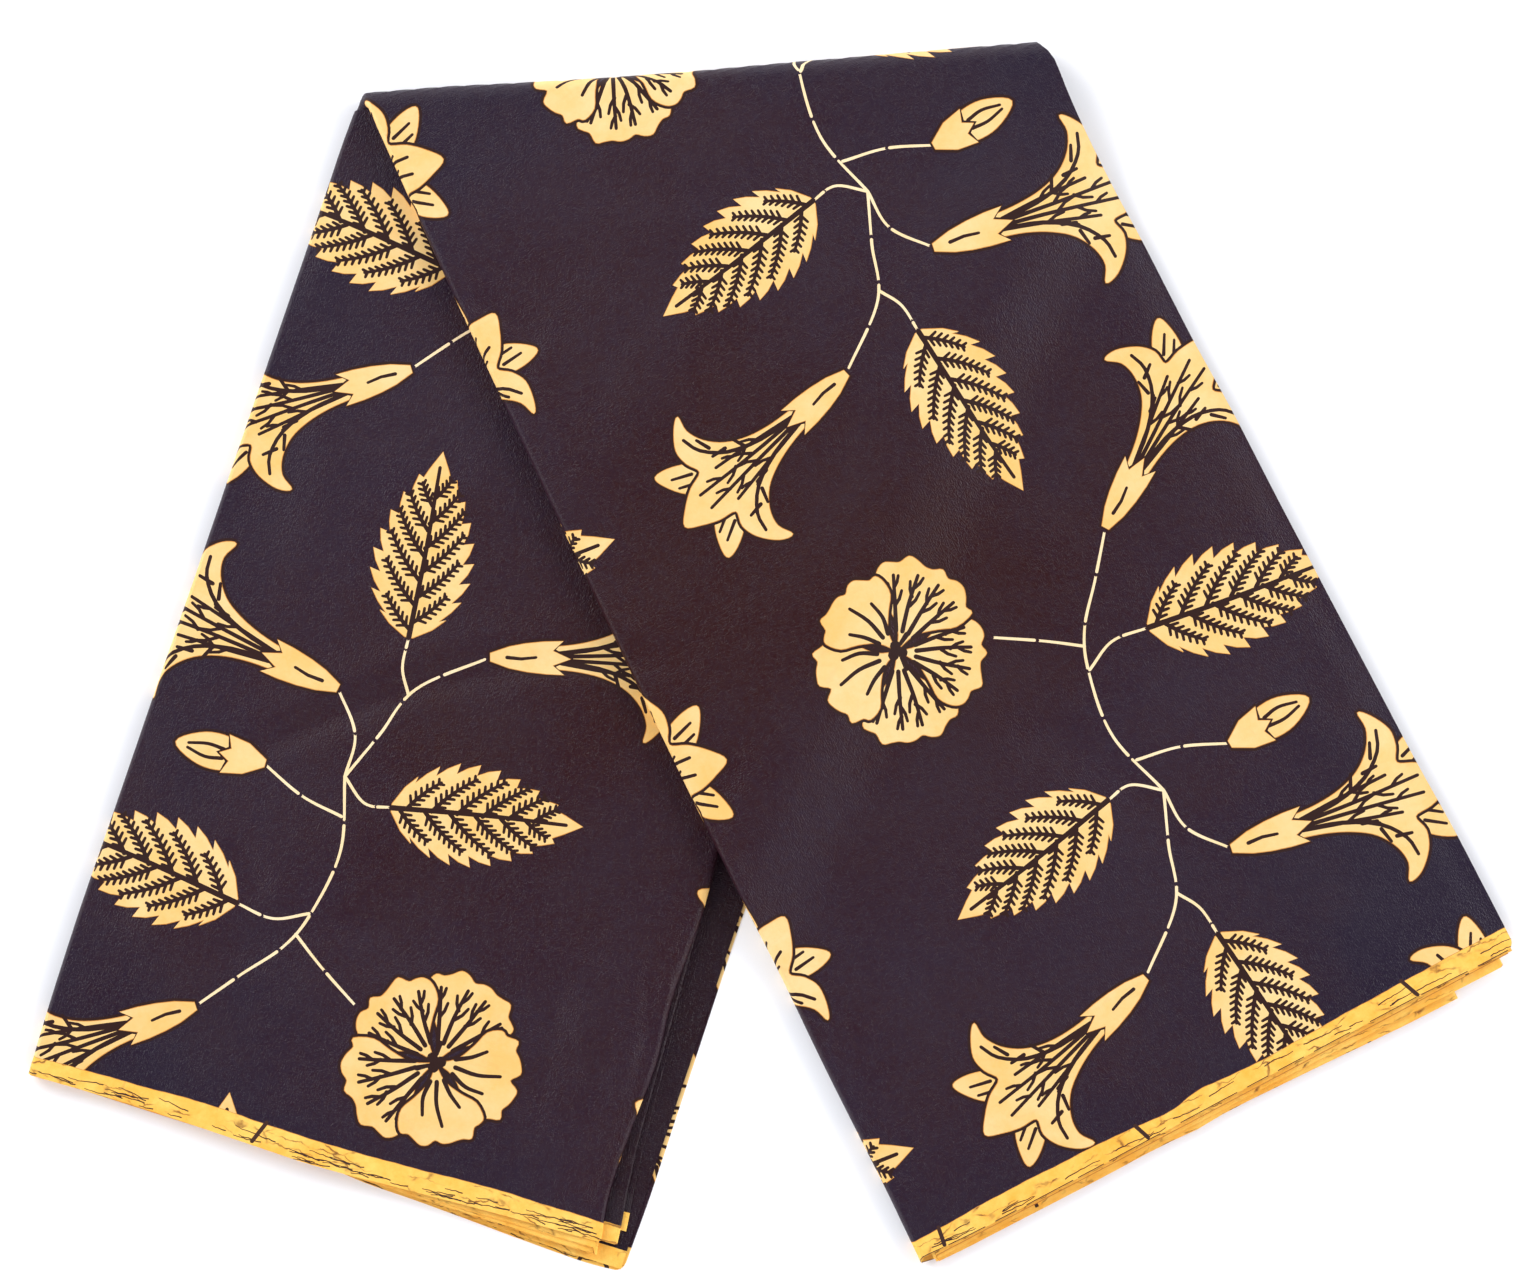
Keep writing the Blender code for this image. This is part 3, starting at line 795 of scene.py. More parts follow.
# %% [markdown]
# Now the folding. A cover is the outermost ply: it runs over one face of a leg, round the closed
# side and over the other face. On the flat cloth, x is the distance from that closed side, positive
# on the widest ply, and y is the distance along the band, positive on the right leg. `cover_point`
# carries any flat point to its place in the folded cloth.

# %% From the flat cloth to the folded one
NOSE_ARC = math.pi / 2 * math.hypot(NOSE_DEPTH, MID_RADIUS) / math.sqrt(2)
BIG_LEVELS = (16, 9)
BIG_RADIUS = 3.4 * MM
BIG_ARC = math.pi * math.hypot(BIG_RADIUS, 3.5 * PITCH) / math.sqrt(2)
BIG_RETURN = 18 * MM
OUTER_TURN = TURN_RADIUS - CLOTH / 2
TURN_ARC = math.pi * OUTER_TURN
TURN_DOWN = TURN_ARC * math.hypot(*RIGHT.fold_reach) / RIGHT.fold_reach[0]
INSET = 6 * MM
INSET_FROM = 0.9
INSET_WIDTH = 0.06


def level_height(leg, level):
    """Height in the full stack of a ply, counted from the widest one."""
    middle = {1: CLOTH / 2, PLIES: STACK - CLOTH / 2}.get(level, (level - 0.5) * PITCH)
    return STACK - middle if leg.widest_on_top else middle


def nose(x):
    """How far a flat distance from the closed side has turned round it, and the place across."""
    turn = np.clip(x / NOSE_ARC, -1, 1) * math.pi / 2
    return turn, NOSE_DEPTH * (1 - np.cos(turn)) + np.maximum(np.abs(x) - NOSE_ARC, 0)


def cover_straight(leg, down):
    """How far the narrow ply's straight part reaches on the flat cloth, from the closed side."""
    return leg.open_side(down, "big") - leg.closed_side(down) - NOSE_DEPTH - BIG_RADIUS + NOSE_ARC


def turn_slide(share, openness):
    """The share of the sideways drift that is done at a share of the turn."""
    late = np.interp(share, (0, 0.05, 0.2, 0.5, 1), (0, 0.05, 0.46, 0.62, 1))
    return mix(share, late, openness)


def round_fold(run, openness, radius, outward, upward, push):
    """Places along the slanted fold, at shares of a radius outwards and upwards from its axis."""
    out = radius * (1 + read(FOLD_WAVE, openness) / OUTER_TURN) * outward + push
    p = FOLD_START + np.multiply.outer(run, FOLD_AXIS) + np.multiply.outer(out, FOLD_OUT)
    return np.column_stack((p, TURN_RADIUS + radius * upward))


def drawn_in(leg, share):
    """How far the right leg's lower plies draw in at the closed side, at a share of its length."""
    return (INSET if leg is RIGHT else 0.0) * smooth((share - INSET_FROM) / (1 - INSET_FROM))


def cover_point(leg, flat):
    """The folded place of flat points, given as x from the closed side and y down the leg."""
    x, down = flat[:, 0], flat[:, 1]
    turn, across = nose(x)
    across = leg.closed_side(down) + across
    up = 1 if leg.widest_on_top else -1
    height = STACK / 2 + up * MID_RADIUS * np.sin(turn)
    past = -x - cover_straight(leg, down)
    bend = np.clip(past / BIG_ARC, 0, 1) * math.pi
    tall = abs(level_height(leg, BIG_LEVELS[0]) - level_height(leg, BIG_LEVELS[1])) / 2
    start = leg.open_side(down, "big") - BIG_RADIUS
    across = np.where(past > 0, start + BIG_RADIUS * np.sin(bend), across)
    across = across - np.maximum(past - BIG_ARC, 0)
    inset = drawn_in(leg, down / leg.closed_reach[1]) * smooth(-x / NOSE_ARC)
    across = across + inset * np.clip(1 - across / INSET_WIDTH, 0, 1)
    height = height + up * tall * (1 - np.cos(bend))
    p = leg.plan(across, down)
    resting = on_leg(leg, p, height)
    if leg is not RIGHT:
        return resting
    beyond = (p - FOLD_START) @ FOLD_OUT
    share = np.clip(beyond / TURN_ARC, 0, 1)
    angle = math.pi / 2 - share * math.pi
    slide = (leg.down @ FOLD_AXIS) / (leg.down @ FOLD_OUT)
    run = (p - FOLD_START) @ FOLD_AXIS - np.maximum(beyond, 0) * slide
    openness = np.clip(run / FOLD_LENGTH, 0, 1)
    run = run - 2 * turn_slide(share, openness) * mix(TURN_DRIFT_CLOSED, TURN_DRIFT_OPEN, openness)
    turned = round_fold(run, openness, height + FOLD_GAP / 2, np.cos(angle), np.sin(angle),
                        FOLD_GAP / 2 * np.sin(share * math.pi))
    return np.where((beyond > 0)[:, None], turned, resting)


def to_print(leg, z):
    """Where a flat point of a leg's cover lies on the printed cloth."""
    return z if leg is RIGHT else z.conjugate() - 1j * TURN_DOWN


def from_print(leg, z):
    """Where a point of the printed cloth lies on the flat cover of a leg."""
    return z if leg is RIGHT else (z + 1j * TURN_DOWN).conjugate()


print("round the slanted fold the cloth runs", round(TURN_ARC / MM, 1), "mm")

# %% [markdown]
# `flat_mesh` turns a flat outline and its print into a mesh. Blender's constrained Delaunay routine
# cuts the plane along every drawn line at once, and each triangle takes the paint of the last shape
# that holds its middle. The flat mesh is then folded, its points move half a thickness to either
# side to make the two faces of the cloth, and a rim closes it. Exact normals come from the folding
# formula, so the thin triangles round the print don't show in the sheen.

# %% Cutting the cloth along the print
GRID = 5 * MM
NUDGE = 0.1 * MM
SAME_POINT = 1e-7


def inside(ring, spots):
    """Which spots a ring winds round. A spot is a complex number."""
    winding = np.zeros(len(spots), int)
    for a, b in zip(ring, ring[1:] + ring[:1]):
        crosses = (b.imag > spots.imag).astype(int) - (a.imag > spots.imag)
        if crosses.any():
            at = a.real + (spots.imag - a.imag) / (b.imag - a.imag) * (b.real - a.real)
            winding += crosses * (spots.real < at)
    return winding != 0


def painted(spots, shapes):
    """The paint of the last shape that holds each spot."""
    order = np.argsort(spots.real)
    in_order = spots.real[order]
    paint = np.full(len(spots), GROUND)
    for colour, ring in shapes:
        low, high = box(ring)
        first, last = np.searchsorted(in_order, (low.real, high.real))
        near = order[first:last]
        near = near[(spots.imag[near] > low.imag) & (spots.imag[near] < high.imag)]
        paint[near[inside(ring, spots[near])]] = colour
    return paint


def flat_mesh(outline, shapes, inner_points, inner_lines):
    """Triangles of the flat outline, cut along all shapes: points, corners and a paint for each."""
    points = [Vector((z.real, z.imag)) for z in outline + inner_points]
    edges = []
    for line in [outline + outline[:1]] + inner_lines + [ring + ring[:1] for _, ring in shapes]:
        first = len(points)
        points += [Vector((z.real, z.imag)) for z in line]
        edges += [(k, k + 1) for k in range(first, len(points) - 1)]
    places, _, corners, _, _, _ = delaunay_2d_cdt(points, edges, [], 0, SAME_POINT, False)
    corners, places = np.array(corners), np.array(places)
    middles = places[corners].mean(axis=1)
    middles = middles[:, 0] + 1j * middles[:, 1]
    kept = inside(outline, middles)
    used, faces = np.unique(corners[kept], return_inverse=True)
    return places[used], faces.reshape(-1, 3), painted(middles[kept], shapes)


def unit(vectors):
    """Rows of vectors, each brought to length 1."""
    return vectors / np.linalg.norm(vectors, axis=1)[:, None]


def folded_normals(fold, flat, sign):
    """Unit normals of the folded surface, from its slopes along x and y."""
    step_x, step_y = np.array((NUDGE, 0)), np.array((0, NUDGE))
    slope_x = fold(flat + step_x) - fold(flat - step_x)
    slope_y = fold(flat + step_y) - fold(flat - step_y)
    return unit(np.cross(slope_x, slope_y) * sign)


def rim_edges(faces):
    """The edges of a flat mesh that only one triangle has, in its own direction."""
    pairs = np.concatenate((faces[:, [0, 1]], faces[:, [1, 2]], faces[:, [2, 0]]))
    keys = np.sort(pairs, axis=1)
    order = keys[:, 0].astype(np.int64) * (int(faces.max()) + 1) + keys[:, 1]
    _, first, count = np.unique(order, return_index=True, return_counts=True)
    return pairs[first[count == 1]]


def cloth_object(name, flat, faces, paint, places, normals):
    """A closed thin cloth: both faces of a folded flat mesh and the rim between them."""
    n = len(flat)
    outer, inner = places + normals * CLOTH / 2, places - normals * CLOTH / 2
    rim = rim_edges(faces)
    walls = np.column_stack((rim[:, 1], rim[:, 0], rim[:, 0] + n, rim[:, 1] + n))
    corners = np.concatenate((faces.ravel(), (faces[:, ::-1] + n).ravel(), walls.ravel()))
    sizes = np.concatenate((np.full(2 * len(faces), 3), np.full(len(rim), 4)))
    mesh = bpy.data.meshes.new(name)
    mesh.vertices.add(2 * n)
    mesh.vertices.foreach_set("co", np.concatenate((outer, inner)).ravel())
    mesh.loops.add(len(corners))
    mesh.loops.foreach_set("vertex_index", corners.astype(np.int32))
    mesh.polygons.add(len(sizes))
    mesh.polygons.foreach_set("loop_start", np.concatenate(([0], np.cumsum(sizes)[:-1])).astype(np.int32))
    owner = {}
    for (a, b, c), colour in zip(faces, paint):
        for edge in ((a, b), (b, c), (c, a)):
            owner[tuple(sorted(edge))] = colour
    rim_paint = [owner[tuple(sorted(edge))] for edge in rim]
    mesh.polygons.foreach_set("material_index", np.concatenate((paint, paint, rim_paint)).astype(np.int32))
    mesh.update(calc_edges=True)
    uv = mesh.uv_layers.new(name="cloth")
    uv.data.foreach_set("uv", np.concatenate((flat, flat))[corners].ravel())
    mesh.shade_smooth()
    shade = np.concatenate((normals, -normals))[corners]
    out = unit(np.cross(places[rim[:, 1]] - places[rim[:, 0]], normals[rim[:, 0]]))
    shade[len(faces) * 6:] = np.repeat(out, 4, axis=0)
    mesh.normals_split_custom_set(shade)
    for material in MATERIALS:
        mesh.materials.append(material)
    return place_object(name, mesh)


print("away from the print the cloth is cut every", round(GRID / MM), "mm")

# %% [markdown]
# Before the pieces come their finishes. An effect that several materials share is a node group with
# named inputs. `Dye tone and painted falloff` gives the slow changes of a vat-dyed cloth and paints
# light and shade that change away from the middle of the cloth, `Woven threads` the fine grain of the
# cotton with its damask figure, and `Wax crackle` the hairlines where wax has cracked.

# %% Node helpers
ORIGIN = (0.0, 0.0, 0.0)


class Tree:
    """Short ways to add and join the nodes of a material or a group."""

    def __init__(self, tree):
        self.tree = tree

    def feed(self, socket, value):
        """Link a socket to another one, or set its value."""
        if isinstance(value, bpy.types.NodeSocket):
            self.tree.links.new(value, socket)
        else:
            socket.default_value = value

    def add(self, kind, inputs=(), **settings):
        """A node of a kind, with its settings and its inputs set or linked."""
        node = self.tree.nodes.new("ShaderNode" + kind)
        for key, value in settings.items():
            setattr(node, key, value)
        for key, value in dict(inputs).items():
            self.feed(node.inputs[key], value)
        return node

    def noise(self, place, scale, detail=3.0, roughness=0.5):
        """A smooth random value from 0 to 1."""
        values = {"Vector": place, "Scale": scale, "Detail": detail, "Roughness": roughness}
        return self.add("TexNoise", values).outputs["Fac"]

    def math(self, operation, first, second=0.0, third=0.0):
        """One sum on values or sockets."""
        return self.add("Math", {0: first, 1: second, 2: third}, operation=operation).outputs[0]

    def vector(self, operation, *values):
        """One sum on vectors or sockets."""
        node = self.add("VectorMath", enumerate(values), operation=operation)
        return node.outputs["Value" if operation == "DISTANCE" else "Vector"]

    def stretch(self, place, scale):
        """A place stretched by three factors."""
        return self.add("Mapping", {"Vector": place, "Scale": scale}).outputs[0]

    def blend(self, share, first, second):
        """A colour between two others."""
        return self.add("Mix", {"Factor": share, 6: first, 7: second}, data_type="RGBA").outputs[2]

    def ramp(self, value, low, high):
        """A value stretched so that low becomes 0 and high becomes 1."""
        return self.add("MapRange", {"Value": value, "From Min": low, "From Max": high}).outputs["Result"]


def new_group(name, inputs, outputs):
    """A node group with named sockets: the group, its tree, and the sockets of its two end nodes."""
    group = bpy.data.node_groups.new(name, "ShaderNodeTree")
    for label, value in inputs.items():
        kind = {3: "NodeSocketVector", 4: "NodeSocketColor"}.get(np.size(value), "NodeSocketFloat")
        group.interface.new_socket(label, in_out="INPUT", socket_type=kind).default_value = value
    for label, kind in outputs.items():
        group.interface.new_socket(label, in_out="OUTPUT", socket_type=kind)
    given, result = group.nodes.new("NodeGroupInput"), group.nodes.new("NodeGroupOutput")
    return group, Tree(group), given.outputs, result.inputs


print("node helpers are ready")

# %% [markdown]
# A vat-dyed cloth is never one colour. Two tones swap in large uneven patches, and a fine grain lies
# over them all. Away from the middle of the cloth the cool tone takes over as a painted bluish sheen,
# and a third, darker tone farther out is painted shade where the light falls off.

# %% Dye tone


def dye_tone_and_falloff_group():
    """Slow and fine changes of a dyed colour, with painted sheen and shade away from the middle."""
    group, tree, given, result = new_group(
        "Dye tone and painted falloff",
        {"Place": ORIGIN, "Warm": (0.02, 0.01, 0.012, 1), "Cool": (0.016, 0.012, 0.02, 1),
         "Far": (0.010, 0.010, 0.02, 1), "Patch Scale": 9.0, "Middle": ORIGIN, "Falloff Share": 0.0,
         "Fine Share": 0.25},
        {"Color": "NodeSocketColor"},
    )
    place, falloff_share = given["Place"], given["Falloff Share"]
    patch = tree.ramp(tree.noise(place, given["Patch Scale"], 8.0, 0.68), 0.36, 0.66)
    away = tree.vector("DISTANCE", place, given["Middle"])
    away = tree.math("MULTIPLY_ADD", tree.math("SUBTRACT", patch, 0.5), 0.14, away)
    # painted sheen: the cool tone takes over with the distance from the middle
    spread = {"Factor": falloff_share, 2: patch, 3: tree.ramp(away, 0.04, 0.25)}
    share = tree.add("Mix", spread, data_type="FLOAT").outputs[0]
    fine = tree.math("SUBTRACT", tree.noise(place, 330.0, 4.0, 0.66), 0.5)
    share = tree.math("MULTIPLY_ADD", fine, given["Fine Share"], share)
    colour = tree.blend(share, given["Warm"], given["Cool"])
    # painted shade: a darker, bluer tone far from the middle, where the light falls off
    far = tree.math("MULTIPLY", tree.ramp(away, 0.25, 0.39), falloff_share)
    tree.feed(result["Color"], tree.blend(far, colour, given["Far"]))
    return group


DYE_TONE_AND_FALLOFF = dye_tone_and_falloff_group()
print("node group:", DYE_TONE_AND_FALLOFF.name)

# %% [markdown]
# Bazin is a damask: its threads float in figures that only show as a change of sheen. Each figure
# here is a plain eight-petalled rosette, one to a square of the cloth.

# %% Woven threads
WEAVE = {"Threads": 1500.0, "Nubs": 130.0, "Figure Size": 0.085, "Figure Share": 1.0}


def woven_threads_group():
    """The grain of the weave as a height, and the damask figure as a mask."""
    group, tree, given, result = new_group("Woven threads", {"Place": ORIGIN, **WEAVE},
                                           {"Height": "NodeSocketFloat", "Figure": "NodeSocketFloat"})
    place, size = given["Place"], given["Figure Size"]
    warp, weft = (tree.noise(tree.stretch(place, scale), given["Threads"], 1.0)
                  for scale in ((1.0, 0.35, 1.0), (0.35, 1.0, 1.0)))
    nubs = tree.noise(place, given["Nubs"], 6.0, 0.66)
    tree.feed(result["Height"], tree.math("ADD", tree.math("ADD", warp, weft), nubs))
    cell = tree.vector("DIVIDE", place, tree.add("CombineXYZ", {0: size, 1: size, 2: 1.0}).outputs[0])
    in_cell = tree.vector("SUBTRACT", tree.vector("FRACTION", cell), (0.5, 0.5, 0.0))
    x, y, _ = tree.add("SeparateXYZ", {0: in_cell}).outputs
    angle = tree.math("ARCTAN2", y, x)
    reach = tree.math("SQRT", tree.math("ADD", tree.math("POWER", x, 2.0), tree.math("POWER", y, 2.0)))
    petals = tree.math("ABSOLUTE", tree.math("COSINE", tree.math("MULTIPLY", angle, 4.0)))
    rim = tree.math("MULTIPLY_ADD", petals, 0.16, 0.20)
    rosette = tree.ramp(tree.math("SUBTRACT", rim, reach), -0.02, 0.02)
    ring = tree.ramp(tree.math("ABSOLUTE", tree.math("SUBTRACT", reach, 0.12)), 0.012, 0.024)
    seen = tree.math("MULTIPLY", tree.ramp(tree.noise(place, 7.0), 0.50, 0.62), given["Figure Share"])
    tree.feed(result["Figure"], tree.math("MULTIPLY", tree.math("MULTIPLY", rosette, ring), seen))
    return group


WOVEN_THREADS = woven_threads_group()
print("node group:", WOVEN_THREADS.name)

# %% [markdown]
# Where the wax cracked, the dark dye got in and left hairlines. They are the borders of long thin
# cells, a little warped, and noise lets them show only here and there.

# %% Wax crackle
CRACKLE = {"Lines": 130.0, "Line Width": 0.05}
WARP = (0.006, 0.006, 0.0)


def wax_crackle_group():
    """Thin uneven hairlines that run mostly along the cloth's edge."""
    group, tree, given, result = new_group("Wax crackle", {"Place": ORIGIN, **CRACKLE, "Amount": 0.5},
                                           {"Mask": "NodeSocketFloat"})
    place = given["Place"]
    wobble = tree.add("TexNoise", {"Vector": place, "Scale": 160.0, "Detail": 3.0}).outputs["Color"]
    stretched = tree.stretch(tree.vector("MULTIPLY_ADD", wobble, WARP, place), (0.30, 1.0, 1.0))
    cells = tree.add("TexVoronoi", {"Vector": stretched, "Scale": given["Lines"]}, feature="DISTANCE_TO_EDGE")
    line = tree.math("SUBTRACT", 1.0, tree.ramp(cells.outputs["Distance"], 0.0, given["Line Width"]))
    where = tree.ramp(tree.noise(place, 90.0), 0.45, 0.62)
    tree.feed(result["Mask"], tree.math("MULTIPLY", tree.math("MULTIPLY", line, where), given["Amount"]))
    return group


WAX_CRACKLE = wax_crackle_group()
print("node group:", WAX_CRACKLE.name)

# %% [markdown]
# Eight finishes share one recipe and differ in a few values: the dark ground and a darker copy of it
# that paints the shade deep in the folds, the wax figures that took the yellow dye, the orange bleed at
# their edge, which also paints a thin shade line at the cut end of some inner plies, the dark veins,
# the pale stems, the yellow selvedge and the marks on it, which also paint a shade line along the
# right leg's cut end.

# %% Materials
# warm, cool and far are linear colours, far being painted shade far from the middle of the cloth; patch:
# patches to a metre; crackle: share of hairlines
Finish = namedtuple("Finish", "name warm cool far patch fine crackle roughness sheen_gap bump")
FINISHES = {
    GROUND: Finish("aubergine_ground", (0.0208, 0.0010, 0.0016), (0.0190, 0.0074, 0.0182),
                   (0.0080, 0.0052, 0.0190), 4, 1.2, 0.0, 0.41, 0.035, 0.95),
    # the orange bleed round the wax, also used as painted shade at the cut end of some inner plies
    BLEED_AND_EDGE_SHADE: Finish("orange_bleed_and_edge_shade", (0.500, 0.190, 0.030), (0.560, 0.250, 0.050),
                  ORIGIN, 60, 0.5, 0.0, 0.60, 0.03, 0.15),
    WAX: Finish("cream_yellow_wax", (0.755, 0.452, 0.134), (0.775, 0.550, 0.252),
                ORIGIN, 22, 0.5, 0.05, 0.58, 0.03, 0.15),
    VEIN: Finish("brown_vein", (0.020, 0.003, 0.0015), (0.018, 0.004, 0.002),
                 ORIGIN, 30, 0.5, 0.0, 0.60, 0.03, 0.15),
    STEM: Finish("pale_stem", (0.800, 0.600, 0.320), (0.820, 0.660, 0.420),
                 ORIGIN, 40, 0.5, 0.0, 0.60, 0.03, 0.15),
    BAND: Finish("yellow_selvedge", (0.830, 0.398, 0.048), (0.890, 0.545, 0.114),
                 ORIGIN, 55, 0.9, 1.0, 0.66, 0.02, 0.30),
    # dark marks and hairlines, also the painted shade line along the right leg's cut end
    BAND_MARK_AND_SHADE_LINE: Finish("selvedge_mark_and_shade_line", (0.045, 0.016, 0.009), (0.034, 0.013, 0.010),
                      ORIGIN, 60, 0.5, 0.0, 0.60, 0.02, 0.15),
    # a darker copy of the ground: painted shade on the inner plies, which lie in the outer ply's shadow
    PAINTED_SHADE_GROUND: Finish("shaded_ground", (0.0140, 0.0010, 0.0014), (0.0130, 0.0050, 0.0125),
                        (0.0070, 0.0042, 0.0130), 4, 1.2, 0.0, 0.41, 0.02, 0.95),
}
CRACKLE_BROWN = (0.16, 0.05, 0.012, 1)
# Away from this middle the ground's tone turns cooler and then darker: painted sheen and shade
FALLOFF_MIDDLE = (-0.01, 0.0, 0.0)
FALLOFF_SHARE = 0.62
ROUGHNESS_SPREAD = 0.34
THREAD_DEPTH = 0.0004
SPECULAR = 0.25


def cloth_material(finish):
    """A Principled material with the dye, the weave and the crackle of one finish."""
    material = bpy.data.materials.new(finish.name)
    material.use_nodes = True
    tree = Tree(material.node_tree)
    shader = material.node_tree.nodes["Principled BSDF"]
    world = tree.add("TexCoord").outputs["Object"]
    cloth = tree.add("UVMap", uv_map="cloth").outputs["UV"]
    warm, cool, far = (part + (1,) for part in (finish.warm, finish.cool, finish.far))
    material.diffuse_color = warm
    dye = {"Place": world, "Warm": warm, "Cool": cool, "Far": far, "Patch Scale": finish.patch,
           "Fine Share": finish.fine, "Middle": FALLOFF_MIDDLE,
           "Falloff Share": FALLOFF_SHARE if any(finish.far) else 0.0}
    colour = tree.add("Group", dye, node_tree=DYE_TONE_AND_FALLOFF).outputs["Color"]
    weave = tree.add("Group", {"Place": cloth, **WEAVE}, node_tree=WOVEN_THREADS).outputs
    if finish.crackle:
        cracks = {"Place": cloth, **CRACKLE, "Amount": finish.crackle}
        mask = tree.add("Group", cracks, node_tree=WAX_CRACKLE).outputs["Mask"]
        colour = tree.blend(mask, colour, CRACKLE_BROWN)
    tree.feed(shader.inputs["Base Color"], colour)
    rough = tree.math("MULTIPLY_ADD", weave["Figure"], -finish.sheen_gap, finish.roughness)
    rough = tree.math("MULTIPLY_ADD", tree.noise(world, 14.0, 8.0, 0.70), ROUGHNESS_SPREAD, rough)
    tree.feed(shader.inputs["Roughness"], tree.math("SUBTRACT", rough, ROUGHNESS_SPREAD / 2))
    bump = tree.add("Bump", {"Height": weave["Height"], "Strength": finish.bump, "Distance": THREAD_DEPTH})
    tree.feed(shader.inputs["Normal"], bump.outputs["Normal"])
    shader.inputs["Specular IOR Level"].default_value = SPECULAR
    return material


MATERIALS = [cloth_material(FINISHES[paint]) for paint in range(PAINTED_SHADE_GROUND + 1)]
print("materials:", [m.name for m in MATERIALS])

# %% [markdown]
# The selvedge is the woven edge at each end of the band. The dark dye stops about a centimetre
# short of it in a slightly wavy line, which leaves a yellow strip, and plain printers' marks cross
# the strip here and there. A broken dark line just inside the right leg's cut end is painted shade
# at the edge.

# %% Selvedge bands
# Tables run from the closed side to the open one: a share, then millimetres past the straight end
COVER_ENDS = {
    ("left", "narrow"): ((0, 1.6), (.1, .3), (.17, -.5), (.3, -.2), (.46, .3), (.53, -.6), (.6, -2.2),
                         (.7, -4.2), (.8, -6), (.9, -7.4), (1, -9)),
    ("left", "widest"): ((0, .6), (.28, -1.2), (.5, -1.2), (.56, .7), (.65, 1), (.75, 2.1), (.8, 2.8),
                         (.89, 3.7), (.94, 4), (.99, 2.7)),
    ("right", "widest"): ((0, 5.3), (.05, 6.2), (.1, 6.6), (.3, 6.2), (.5, 5.4), (.85, 4.4), (.98, 5.1),
                          (1, 4.8)),
    ("right", "narrow"): ((0, 9.4), (.3, 9.2), (1, 8.8)),
}
DYE_ENDS = {
    ("left", "narrow"): ((0, -7.7), (.27, -12.2), (.39, -12), (.51, -11.9), (.54, -12.5), (.77, -16.9),
                         (.92, -17.7), (1, -16.9)),
    ("left", "widest"): ((0, -9.7), (1, -9.7)),
    ("right", "widest"): ((0, -3.3), (.05, -3.4), (.19, -4.6), (.35, -3.6), (.40, -2.5), (.445, -1.8),
                          (.465, -3), (.488, -5.6), (.52, -4.2), (.58, -3.3), (.78, -5.1), (.84, -5.8),
                          (1, -6.1)),
    ("right", "narrow"): ((0, -5), (1, -5)),
}
# A mark's two shares across, and its start and end past the straight end
Tick = namedtuple("Tick", "from_share to_share from_end to_end")
TICKS = {
    ("left", "narrow"): (Tick(.388, .374, -13.0, -1.8),),
    ("left", "widest"): (Tick(.928, .924, 0.5, 3.4), Tick(.963, .970, 0.5, 3.0)),
    ("right", "widest"): (Tick(.842, .855, -6.6, 3.4), Tick(.046, .043, -4.2, 5.0),
                          Tick(.381, .391, -3.8, 4.4)),
    ("right", "narrow"): (),
}
HAIRLINES = {"left": 60, "right": 24}
HAIRLINE_STEP = 1.8 * MM
HAIRLINE = (0.62 * MM, 0.36 * MM)
# How far a hairline may lie from the cut end
HAIRLINE_PLACES = (1.6, 2.4, 3.0, 3.6, 5.5)
TICK_WIDTH = 2.1 * MM
# Width of the dark line along the right leg's cut end: painted shade where the top ply steps down
EDGE_SHADE_LINE = 0.45 * MM
BAND_PAST_CUT = 20 * MM
CORNER_RADIUS = 5 * MM
# Slow, quick and very quick waves of the dye line: how fast, where they start, how high
DYE_WAVES = ((90, 1, 0.15), (210, 2, 0.1), (620, 0, 0.08))


def past_end(leg, tables, x):
    """Down distance of a table's line at flat distances from the closed side."""
    _, across = nose(x)
    share = np.clip(across / leg.open_reach[0], 0, 1)
    turned = smooth(0.5 - x / (2 * NOSE_ARC))
    past = mix(read(tables[leg.name, "widest"], share), read(tables[leg.name, "narrow"], share), turned)
    return leg.end_line(across) + past


def cut_edge(leg, down):
    """Flat distance of the widest ply's cut edge."""
    return leg.open_side(down, "widest") - leg.closed_side(down) - NOSE_DEPTH + NOSE_ARC


def cover_end(leg, x):
    """Down distance of a cover's cut end, with a rounded corner on the widest ply."""
    end = past_end(leg, COVER_ENDS, x)
    reach = np.clip(CORNER_RADIUS - (cut_edge(leg, end) - x), 0, CORNER_RADIUS)
    return end - (CORNER_RADIUS - np.sqrt(CORNER_RADIUS ** 2 - reach ** 2))


